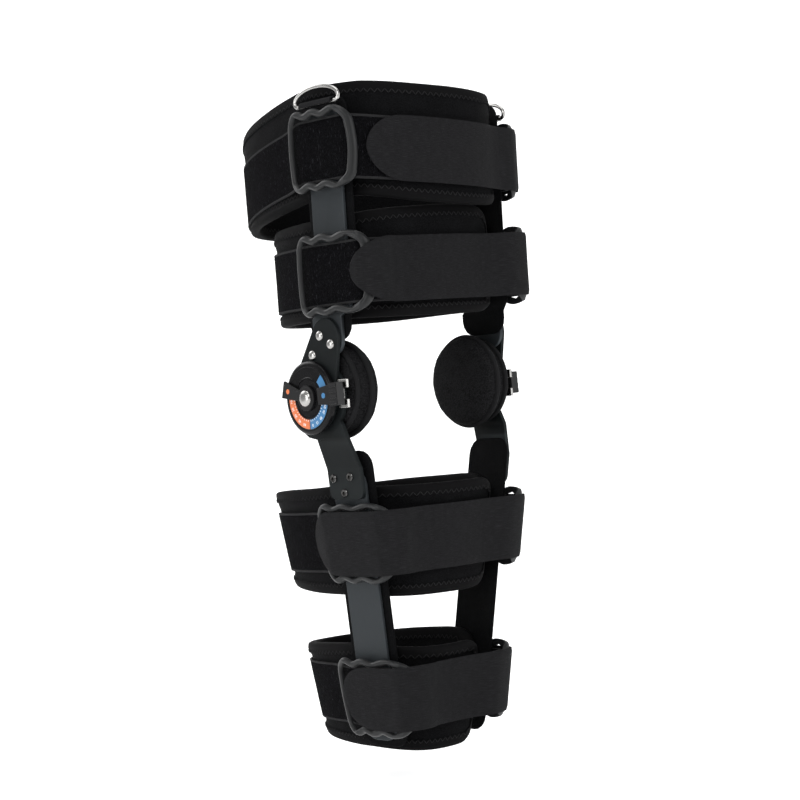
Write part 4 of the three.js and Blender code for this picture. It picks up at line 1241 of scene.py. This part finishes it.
def swollen_pad(node, settings):
    """A knee pad puffed up by a cloth simulation with pressure, then held off the hinge."""
    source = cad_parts[node]
    mesh = source.data.copy()
    mesh.materials.clear()
    mesh.transform(source.matrix_world)
    item = linked(f"visual_{node}", mesh)
    side = 1 if node.endswith("medial") else -1
    middle = (KNEE_PAD_FACE + HINGE_HALF) / 2
    centre = hinge_point(middle, KNEE_PAD_FORWARD, KNEE_PAD_RISE, side)
    for vertex in mesh.vertices:
        vertex.co = centre + (vertex.co - centre) * settings.pad_start
    bpy.ops.object.select_all(action="DESELECT")
    bpy.context.view_layer.objects.active = item
    item.select_set(True)
    remesh = item.modifiers.new("remesh", "REMESH")
    remesh.mode = "VOXEL"
    remesh.voxel_size = settings.voxel
    bpy.ops.object.modifier_apply(modifier=remesh.name)
    start = np.array([v.co[:] for v in item.data.vertices])
    cloth = item.modifiers.new("cloth", "CLOTH")
    cloth.settings.use_pressure = True
    cloth.settings.uniform_pressure_force = settings.pressure
    cloth.settings.effector_weights.gravity = 0
    cloth.settings.quality = 5
    scene = bpy.context.scene
    for step in range(1, settings.frames + 1):
        scene.frame_set(step)
    bpy.ops.object.modifier_apply(modifier=cloth.name)
    scene.frame_set(1)
    limit = settings.movement
    face = (HINGE_HALF - GAP) * MM
    inner = KNEE_PAD_FACE * MM - settings.proud
    rim = (KNEE_PAD_RADIUS + KNEE_PAD_SPREAD) * MM
    for i, vertex in enumerate(item.data.vertices):
        moved = vertex.co - Vector(start[i])
        if moved.length > limit:
            vertex.co = Vector(start[i]) + moved * (limit / moved.length)
        depth = min(max(side * vertex.co.x, inner), face)
        vertex.co.x = side * depth
        around = Vector((vertex.co.y - centre.y, vertex.co.z - centre.z))
        if around.length > rim:
            around *= rim / around.length
            vertex.co.y, vertex.co.z = centre.y + around.x, centre.z + around.y
    bm = opened(item.data)
    bmesh.ops.smooth_vert(
        bm, verts=bm.verts, factor=0.5, use_axis_x=True, use_axis_y=True, use_axis_z=True,
    )
    bm.to_mesh(item.data)
    bm.free()
    subdivision = item.modifiers.new("finer", "SUBSURF")
    subdivision.levels = 1
    subdivision.render_levels = 1
    bpy.ops.object.modifier_apply(modifier=subdivision.name)
    return item


def welt_mesh(side, radius, depth, wire):
    """A round cord sewn into a knee pad's edge."""
    line = []
    for i in range(96):
        angle = 2 * math.pi * i / 96
        forward = radius * math.cos(angle) + KNEE_PAD_FORWARD
        line.append(hinge_point(depth, forward, radius * math.sin(angle) + KNEE_PAD_RISE, side))
    return wire_mesh("knee_pad_welt", line, wire * MM, 8, Vector((1, 0, 0)))


# Settings


def length(name, description, default):
    """A length setting in metres, given in millimetres."""
    return bpy.props.FloatProperty(
        name=name, description=description, default=default * MM, min=0,
        subtype="DISTANCE", unit="LENGTH",
    )


def number(name, description, default, low=0.0, high=1e9):
    return bpy.props.FloatProperty(
        name=name, description=description, default=default, min=low, max=high,
    )


def paint(name, description, default):
    return bpy.props.FloatVectorProperty(
        name=name, description=description, default=default, size=4, min=0, max=1,
        subtype="COLOR",
    )


class BRACE_PG_Pads(bpy.types.PropertyGroup):
    swell: length("Swell", "How far the free foam stands proud of its flat face", 1.5)
    binding_width: length("Binding width", "Width of the tape over the pads' edges", 7)
    seam_inside: length("Seam inside", "How far the seam lies on the binding's inner edge", 2.4)
    seam_past: length("Seam past", "How far the seam reaches past the binding", 0.6)
    seam_pitch: length("Seam pitch", "Length along the edge of one zigzag stitch", 1.1)
    thread_radius: length("Thread radius", "Half the thickness of the sewing thread", 0.34)
    fill: number("Fill", "How full the cuff pads are, from 0 to 1", 0.45, 0, 1)


class BRACE_PG_KneePads(bpy.types.PropertyGroup):
    voxel: length("Voxel", "Size of the remesh before the simulation", 3)
    pressure: number("Pressure", "Pressure inside the knee pads while they swell", 4)
    movement: length("Largest movement", "How far a point may move while the pads swell", 4)
    proud: length("Proud", "How far the pads may swell towards the knee", 1.5)
    pad_start: number("Starting size", "Size before the pads swell, as a share", 0.97, 0.5, 1)
    frames: bpy.props.IntProperty(
        name="Frames", description="Length of the simulation", default=20, min=1,
    )
    fill: number("Fill", "How full the knee pads are, from 0 to 1", 0.8, 0, 1)


class BRACE_PG_Hard(bpy.types.PropertyGroup):
    plate_bevel: length("Plate edges", "Rounding of the uprights' edges", 0.7)
    arm_bevel: length("Arm edges", "Rounding of the hinge arms' edges", 0.6)
    small_bevel: length("Small edges", "Rounding of the stops' and catches' edges", 0.35)
    liner_bevel: length("Liner edges", "Rounding of the foam strips' edges", 0.8)
    numeral_size: length("Numerals", "Height of the numerals on the dials", 3.1)


class BRACE_PG_Looks(bpy.types.PropertyGroup):
    foam: paint("Foam", "Knitted cover of the pads", (0.0028, 0.0029, 0.0032, 1))
    knee: paint("Knee pads", "Ribbed cover of the knee pads", (0.0075, 0.0075, 0.008, 1))
    binding: paint("Binding", "Tape round the pads' edges", (0.0022, 0.0022, 0.0024, 1))
    thread: paint("Thread", "Sewing thread", (0.009, 0.009, 0.0095, 1))
    pile: paint("Pile", "Soft pile straps", (0.0026, 0.0026, 0.003, 1))
    selvedge: paint("Selvedge", "Woven edges of the pile straps", (0.0115, 0.0115, 0.012, 1))
    tape: paint("Tape", "Woven hook straps", (0.0066, 0.0066, 0.0071, 1))
    plastic: paint("Plastic", "Moulded strap frames", (0.0055, 0.0059, 0.0063, 1))
    bar: paint("Uprights", "Satin coating of the uprights", (0.0085, 0.0098, 0.0108, 1))
    arm: paint("Arms", "Black coating of the hinge arms", (0.0035, 0.0042, 0.0044, 1))
    dial: paint("Dial", "Glossy black of the dials", (0.0036, 0.0036, 0.004, 1))
    steel: paint("Steel", "Bare steel", (0.36, 0.355, 0.345, 1))
    extension: paint("Extension", "Scale of the extension stop", (0.52, 0.125, 0.035, 1))
    flexion: paint("Flexion", "Scale of the flexion stop", (0.022, 0.125, 0.27, 1))
    numerals: paint("Numerals", "Printed numerals", (0.75, 0.76, 0.78, 1))


class BRACE_PG_Stage(bpy.types.PropertyGroup):
    azimuth: bpy.props.FloatProperty(
        name="Azimuth", description="Direction of the camera round the brace",
        default=math.radians(-41), subtype="ANGLE", unit="ROTATION",
    )
    roll: bpy.props.FloatProperty(
        name="Roll", description="Tilt of the camera round its line of sight",
        default=math.radians(-4), subtype="ANGLE", unit="ROTATION",
    )
    distance: length("Distance", "From the camera to the knee's centre", 1480)
    drop: length("Drop", "How far the camera lies below the knee's centre", 6)
    lens: number("Lens", "Focal length in millimetres", 86, 10, 300)
    floor: length("Floor", "How far below the knee's centre the floor lies", 300)
    power: number("Light", "Strength of the softboxes in watts", 26)
    world: number("Ambience", "Strength of the even light from all round", 0.5)


class BRACE_PG_Settings(bpy.types.PropertyGroup):
    pads: bpy.props.PointerProperty(type=BRACE_PG_Pads)
    knee_pads: bpy.props.PointerProperty(type=BRACE_PG_KneePads)
    hard: bpy.props.PointerProperty(type=BRACE_PG_Hard)
    looks: bpy.props.PointerProperty(type=BRACE_PG_Looks)
    stage: bpy.props.PointerProperty(type=BRACE_PG_Stage)


def material(name, make, *values, **named):
    """A material by name, made once."""
    found = bpy.data.materials.get(name)
    return found or make(name, *values, **named)


# Operators


class BraceOperator:
    """What the building operators share."""

    bl_options = {"REGISTER", "UNDO"}

    def execute(self, context):
        self.build(context.scene.knee_brace)
        return {"FINISHED"}


class BRACE_OT_pads(BraceOperator, bpy.types.Operator):
    """Builds the four padded cuffs with their bound edges and stitches"""

    bl_idname = "brace.pads"
    bl_label = "Cuff Pads"

    def build(self, settings):
        looks, pads = settings.looks, settings.pads
        foam = material("foam cover", knit_material, looks.foam)
        tape = material("binding tape", woven_material, looks.binding, 0.9, 0.6)
        thread = material("thread", thread_material, looks.thread)
        for name, cuff in cuffs.items():
            shape = PadShape(cuff)
            mesh = pad_mesh(shape, pads)
            pad = replacing(f"pad_{name}", mesh, foam, cuff.body, 60)
            mesh = binding_mesh(shape, pads)
            new_object(f"visual_pad_binding_{name}", mesh, tape, cuff.body, 70)
            mesh = pad_stitches(shape, pads)
            new_object(f"visual_pad_stitches_{name}", mesh, thread, cuff.body, 80)


class BRACE_OT_knee_pads(BraceOperator, bpy.types.Operator):
    """Builds the two round pads beside the knee"""

    bl_idname = "brace.knee_pads"
    bl_label = "Knee Pads"

    def build(self, settings):
        foam = material("knee cover", knit_material, settings.looks.knee, 900, 0.0008)
        tape = material("knee welt", woven_material, settings.looks.knee, 1.2, 1.0)
        for label, side in SIDES.items():
            node = f"knee_pad_{label}"
            pad = swollen_pad(node, settings.knee_pads)
            for face in pad.data.polygons:
                face.use_smooth = True
            pad.data.materials.append(foam)
            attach(pad, "thigh")
            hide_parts(node)
            name = f"visual_knee_pad_welt_{label}"
            deep = HINGE_HALF - KNEE_PAD_FACE
            welt = joined(name, [
                welt_mesh(side, KNEE_PAD_RADIUS * radius, KNEE_PAD_FACE + deep * share, wire)
                for radius, share, wire in KNEE_WELTS
            ])
            new_object(name, welt, tape, "thigh")


class BRACE_OT_loop_straps(BraceOperator, bpy.types.Operator):
    """Builds the soft pile straps that go all the way round"""

    bl_idname = "brace.loop_straps"
    bl_label = "Pile Straps"

    def build(self, settings):
        pile = material("loop pile", pile_material, settings.looks.pile)
        edge = material("strap selvedge", woven_material, settings.looks.selvedge, 0.6, 0.8)
        for name, cuff in cuffs.items():
            mesh = loop_strap_mesh(cuff)
            strap = replacing(f"loop_strap_{name}", mesh, pile, cuff.body, 60)
            mesh.materials.append(edge)
            middle = LOOP_OFF + LOOP_THICK / 2
            reach = path_length(cuff, 0, cuff.round, lambda s: cuff.lift(s) + middle)
            layer = mesh.uv_layers[0].data
            rim = ((STRAP_WIDTH - LOOP_MARGIN) / 2 - SELVEDGE_WIDTH) * MM
            for face in mesh.polygons:
                across = [abs(layer[i].uv[1]) for i in face.loop_indices]
                if sum(across) / len(across) > rim:
                    face.material_index = 1


class BRACE_OT_hook_straps(BraceOperator, bpy.types.Operator):
    """Builds the woven straps on the front with their rounded ends"""

    bl_idname = "brace.hook_straps"
    bl_label = "Woven Straps"

    def build(self, settings):
        tape = material("woven tape", woven_material, settings.looks.tape)
        for name, cuff in cuffs.items():
            node = f"hook_strap_{name}"
            mesh = hook_strap_mesh(cuff)
            strap = replacing(node, mesh, tape, cuff.body, 60)
            start, end = hook_span(cuff)
            reach = path_length(cuff, start, end, lambda s: hook_off(cuff, s) + HOOK_THICK / 2)


class BRACE_OT_strap_frames(BraceOperator, bpy.types.Operator):
    """Builds the moulded frames that hold the straps over the uprights"""

    bl_idname = "brace.strap_frames"
    bl_label = "Strap Frames"

    def build(self, settings):
        plastic = material("frame plastic", plastic_material, settings.looks.plastic)
        for name, cuff in cuffs.items():
            for label in SIDES:
                node = f"strap_frame_{name}_{label}"
                mesh = frame_mesh(cuff, label)
                replacing(node, mesh, plastic, cuff.body, 75)


class BRACE_OT_uprights(BraceOperator, bpy.types.Operator):
    """Builds the metal uprights and the foam strips behind them"""

    bl_idname = "brace.uprights"
    bl_label = "Uprights"

    def build(self, settings):
        hard = settings.hard
        metal = material("upright coating", coated_metal_material, settings.looks.bar)
        foam = material("liner cover", knit_material, settings.looks.foam, 1900)
        for label in SIDES:
            for half, body in (("upper", "thigh"), ("lower", "shin")):
                node = f"{half}_bar_{label}"
                bar = softened(node, hard.plate_bevel / MM)
                weighted(replacing(node, bar, metal, body))
                node = f"{half}_liner_{label}"
                liner = softened(node, hard.liner_bevel / MM)
                item = replacing(node, liner, foam, body)
                weighted(item)


class BRACE_OT_hinge_arms(BraceOperator, bpy.types.Operator):
    """Builds the hinge arms with their catches"""

    bl_idname = "brace.hinge_arms"
    bl_label = "Hinge Arms"

    def build(self, settings):
        looks, hard = settings.looks, settings.hard
        coat = material("arm coating", coated_metal_material, looks.arm, 0.3, 0.0, 0.06)
        steel = material("bare steel", steel_material, looks.steel)
        bevel = hard.arm_bevel / MM
        for label, side in SIDES.items():
            node = f"upper_arm_{label}"
            outline = two_circles(UPPER_HUB_RADIUS, ARM_TOP_FORWARD, ARM_TOP_HEIGHT, ARM_TOP_RADIUS)
            hole = circle(AXLE_RADIUS + AXLE_GAP, steps=32)
            mesh = outline_mesh(node, [outline, hole], ARM_THICK, bevel, UPPER_ARM_INNER, side)
            weighted(replacing(node, mesh, coat, "thigh"))
            node = f"lower_arm_{label}"
            weighted(replacing(node, softened(node, bevel), coat, "shin"))
            node = f"hinge_catch_{label}"
            mesh = softened(node, hard.small_bevel / MM)
            weighted(replacing(node, mesh, steel, "thigh"))


class BRACE_OT_dials(BraceOperator, bpy.types.Operator):
    """Builds the dials with their printed scales"""

    bl_idname = "brace.dials"
    bl_label = "Dials"

    def build(self, settings):
        looks = settings.looks
        gloss = material("dial plastic", plastic_material, looks.dial, 0.2, 0.12)
        orange = material("extension paint", print_material, looks.extension)
        blue = material("flexion paint", print_material, looks.flexion)
        white = material("numeral paint", print_material, looks.numerals)
        size = settings.hard.numeral_size / MM
        depth = DIAL_FACE - SCALE_DEEP
        bands = ((orange, 164, 269), (blue, 271, 345), (blue, 20, 46))
        numerals = (
            ("0", 170), ("10", 186), ("20", 202), ("30", 218), ("45", 234), ("60", 252),
            ("0", 280), ("15", 296), ("30", 312), ("45", 328), ("60", 340),
        )
        ticks = list(range(168, 268, 8)) + list(range(275, 345, 8))
        for label, side in SIDES.items():
            replacing(f"dial_{label}", dial_mesh(side), gloss, "thigh", 35)
            for i, (look, start, end) in enumerate(bands, 1):
                mesh = band_mesh(
                    "scale", SCALE_INNER, SCALE_OUTER, start, end, depth, SCALE_THICK, side,
                )
                new_object(f"visual_dial_scale_{label}_{i}", mesh, look, "thigh")
            above = depth + NUMERAL_LIFT
            meshes = [
                text_mesh("numeral", words, size, angle, NUMERAL_RADIUS, above, side)
                for words, angle in numerals
            ]
            meshes += [
                band_mesh(
                    "tick", TICK_INNER, TICK_OUTER, angle - TICK_HALF, angle + TICK_HALF,
                    above - TICK_THICK / 2, TICK_THICK, side,
                )
                for angle in ticks
            ]
            mesh = joined(f"dial_numerals_{label}", meshes)
            new_object(f"visual_dial_numerals_{label}", mesh, white, "thigh")


class BRACE_OT_stops(BraceOperator, bpy.types.Operator):
    """Builds the extension and flexion stops with their coloured marks"""

    bl_idname = "brace.stops"
    bl_label = "Stops"

    def build(self, settings):
        looks = settings.looks
        plastic = material("stop plastic", plastic_material, looks.dial, 0.33)
        red = material("extension paint", print_material, looks.extension)
        blue = material("flexion paint", print_material, looks.flexion)
        bevel = settings.hard.small_bevel / MM
        top = STOP_INNER + STOP_THICK
        for label, side in SIDES.items():
            for node, mark, angle, radius, size in (
                (f"extension_stop_{label}", red, 164, 22, 1.9),
                (f"flexion_stop_{label}", blue, 3, 21, 2.1),
            ):
                weighted(replacing(node, softened(node, bevel), plastic, node))
                turn = math.radians(angle)
                forward, up = radius * math.cos(turn), radius * math.sin(turn)
                dot = disc_mesh("mark", size, MARK_THICK, forward, up, top, side)
                new_object(f"visual_{node}_mark", dot, mark, node)


class BRACE_OT_fasteners(BraceOperator, bpy.types.Operator):
    """Builds the axles, rivets and screws of the hinges"""

    bl_idname = "brace.fasteners"
    bl_label = "Fasteners"

    def build(self, settings):
        looks = settings.looks
        steel = material("bare steel", steel_material, looks.steel)
        dark = material("dark steel", steel_material, shade(looks.steel, 0.22))
        for label, side in SIDES.items():
            shaft = turned_mesh("axle", [
                (HINGE_HALF, 0), (HINGE_HALF, AXLE_RADIUS), (AXLE_HEAD_INNER, AXLE_RADIUS),
                (AXLE_HEAD_INNER, 0),
            ], 32)
            shaft.transform(facing(side))
            head = domed_mesh("head", AXLE_HEAD_RADIUS, AXLE_HEAD_HEIGHT, 48)
            head.transform(facing(side) @ Matrix.Translation((AXLE_HEAD_INNER * MM, 0, 0)))
            node = f"axle_{label}"
            replacing(node, joined(node, [shaft, head]), steel, "thigh", 40)
            depth = UPPER_ARM_INNER + ARM_THICK
            for i, (forward, up) in enumerate(ARM_RIVETS, 1):
                node = f"arm_rivet_{label}_{i}"
                mesh = domed_mesh(node, RIVET_RADIUS, RIVET_HEIGHT + GAP)
                place = hinge_point(depth, forward, up, side)
                mesh.transform(Matrix.Translation(place) @ facing(side))
                replacing(node, mesh, steel, "thigh")
            off = BAR_THICK / 2 + GAP + ARM_THICK
            for i, (forward, up) in enumerate(ARM_SCREWS, 1):
                node = f"arm_screw_{label}_{i}"
                row = row_at(LOWER_ROWS, up)
                along = (-forward - row["y"]) / math.cos(row["turn"])
                mesh = screw_mesh(node, SCREW_RADIUS, SCREW_HEIGHT + 2 * GAP)
                mesh.transform(plate_frame(row, along, off, side))
                replacing(node, mesh, dark, "shin", 35)


class BRACE_OT_rings(BraceOperator, bpy.types.Operator):
    """Builds the D rings and the webbing that holds them"""

    bl_idname = "brace.rings"
    bl_label = "Rings"

    def build(self, settings):
        looks = settings.looks
        steel = material("bare steel", steel_material, looks.steel)
        webbing = material("ring webbing", woven_material, looks.tape, 0.8)
        thread = material("thread", thread_material, looks.thread)
        for label, side in SIDES.items():
            line, out = ring_path(side)
            mesh = wire_mesh("ring", line, RING_WIRE / 2 * MM, 14, out)
            replacing(f"ring_{label}", mesh, steel, "thigh", 80)
            node = f"ring_tab_{label}"
            weighted(replacing(node, softened(node, 0.2), webbing, "thigh"))
            mesh = tab_stitches(side, settings.pads)
            new_object(f"visual_ring_tab_stitches_{label}", mesh, thread, "thigh", 80)


# The softboxes: name, place and size in metres, and share of the stage's light
SOFTBOXES = (
    ("key", (-1.5, -1.3, 1.3), 1.3, 1), ("fill", (0.9, -1.8, 0.5), 1.4, 0.6),
    ("back", (-0.6, 1.6, 1.2), 1.2, 0.6), ("top", (0, 0, 1.9), 1.2, 0.6),
    ("side", (-1.9, 0.3, 0.2), 0.9, 0.5),
)
# The backdrop in metres: half its width, its curve, how far it reaches each way and its height
BACKDROP_WIDE = 4.5
BACKDROP_CURVE = 1.2
BACKDROP_FAR = 2.4
BACKDROP_NEAR = -3.0
BACKDROP_TALL = 4.0


class BRACE_OT_stage(BraceOperator, bpy.types.Operator):
    """Sets the pale floor and backdrop, the soft lights and the camera"""

    bl_idname = "brace.stage"
    bl_label = "Stage"

    def build(self, settings):
        stage = settings.stage
        scene = bpy.context.scene
        backdrop = self.backdrop(stage)
        lights = [
            self.softbox(name, place, size, stage.power * share)
            for name, place, size, share in SOFTBOXES
        ]
        world = bpy.data.worlds.new("even light")
        world.use_nodes = True
        light = world.node_tree.nodes["Background"].inputs
        light["Color"].default_value = (1, 1, 1, 1)
        light["Strength"].default_value = stage.world
        scene.world = world
        camera = linked("camera", bpy.data.cameras.new("camera"))
        camera.data.lens = stage.lens
        camera.data.sensor_width = 36
        back = Vector((math.sin(stage.azimuth), -math.cos(stage.azimuth), 0))
        camera.location = back * stage.distance - Vector((0, 0, stage.drop))
        facing_knee = (-back).to_track_quat("-Z", "Y")
        roll = Matrix.Rotation(stage.roll, 4, "Z").to_quaternion()
        camera.rotation_mode = "QUATERNION"
        camera.rotation_quaternion = facing_knee @ roll
        scene.camera = camera
        scene.view_settings.view_transform = "Standard"

    def backdrop(self, stage):
        """A floor that curves up into a wall behind the brace."""
        radius = BACKDROP_CURVE
        bend = BACKDROP_FAR - radius
        profile = [(BACKDROP_NEAR, 0.0), (bend, 0.0)]
        for i in range(1, 17):
            angle = math.radians(90 * i / 16)
            profile.append((bend + radius * math.sin(angle), radius * (1 - math.cos(angle))))
        profile.append((BACKDROP_FAR, BACKDROP_TALL))
        away = Vector((-math.sin(stage.azimuth), math.cos(stage.azimuth), 0))
        across = Vector((away.y, -away.x, 0))
        points = []
        for along, up in profile:
            for share in (-1, 1):
                spot = away * along + across * BACKDROP_WIDE * share
                points.append((spot.x, spot.y, up - stage.floor))
        faces = [(2 * i, 2 * i + 1, 2 * i + 3, 2 * i + 2) for i in range(len(profile) - 1)]
        mesh = raw_mesh("backdrop", points, faces)
        for face in mesh.polygons:
            face.use_smooth = True
        item = linked("backdrop", mesh)
        mesh.materials.append(material("backdrop", floor_material))
        return item

    def softbox(self, name, place, size, power):
        data = bpy.data.lights.new(name, "AREA")
        data.shape = "SQUARE"
        data.size = size
        data.energy = power
        item = linked(name, data)
        item.location = place
        item.rotation_mode = "QUATERNION"
        item.rotation_quaternion = Vector(place).to_track_quat("Z", "Y")
        return item


class BRACE_PT_panel(bpy.types.Panel):
    """Buttons for the brace's pieces and its stage"""

    bl_idname = "BRACE_PT_panel"
    bl_label = "Knee Immobilizer"
    bl_space_type = "VIEW_3D"
    bl_region_type = "UI"
    bl_category = "Knee Brace"

    def draw(self, context):
        settings = context.scene.knee_brace
        column = self.layout.column()
        for operator in OPERATORS:
            column.operator(operator.bl_idname)
        for part in settings.__annotations__:
            group, box = getattr(settings, part), self.layout.box()
            for key in group.__annotations__:
                box.prop(group, key)


OPERATORS = (
    BRACE_OT_pads, BRACE_OT_knee_pads, BRACE_OT_loop_straps, BRACE_OT_hook_straps,
    BRACE_OT_strap_frames, BRACE_OT_uprights, BRACE_OT_hinge_arms, BRACE_OT_dials,
    BRACE_OT_stops, BRACE_OT_fasteners, BRACE_OT_rings, BRACE_OT_stage,
)
GROUPS = (
    BRACE_PG_Pads, BRACE_PG_KneePads, BRACE_PG_Hard, BRACE_PG_Looks, BRACE_PG_Stage,
    BRACE_PG_Settings,
)


def register():
    for item in GROUPS + OPERATORS + (BRACE_PT_panel,):
        bpy.utils.register_class(item)
    bpy.types.Scene.knee_brace = bpy.props.PointerProperty(type=BRACE_PG_Settings)


def unregister():
    del bpy.types.Scene.knee_brace
    for item in reversed(GROUPS + OPERATORS + (BRACE_PT_panel,)):
        bpy.utils.unregister_class(item)


def main():
    register()
    for operator in OPERATORS:
        group, action = operator.bl_idname.split(".")
        getattr(getattr(bpy.ops, group), action)()


if __name__ == "__main__":
    main()
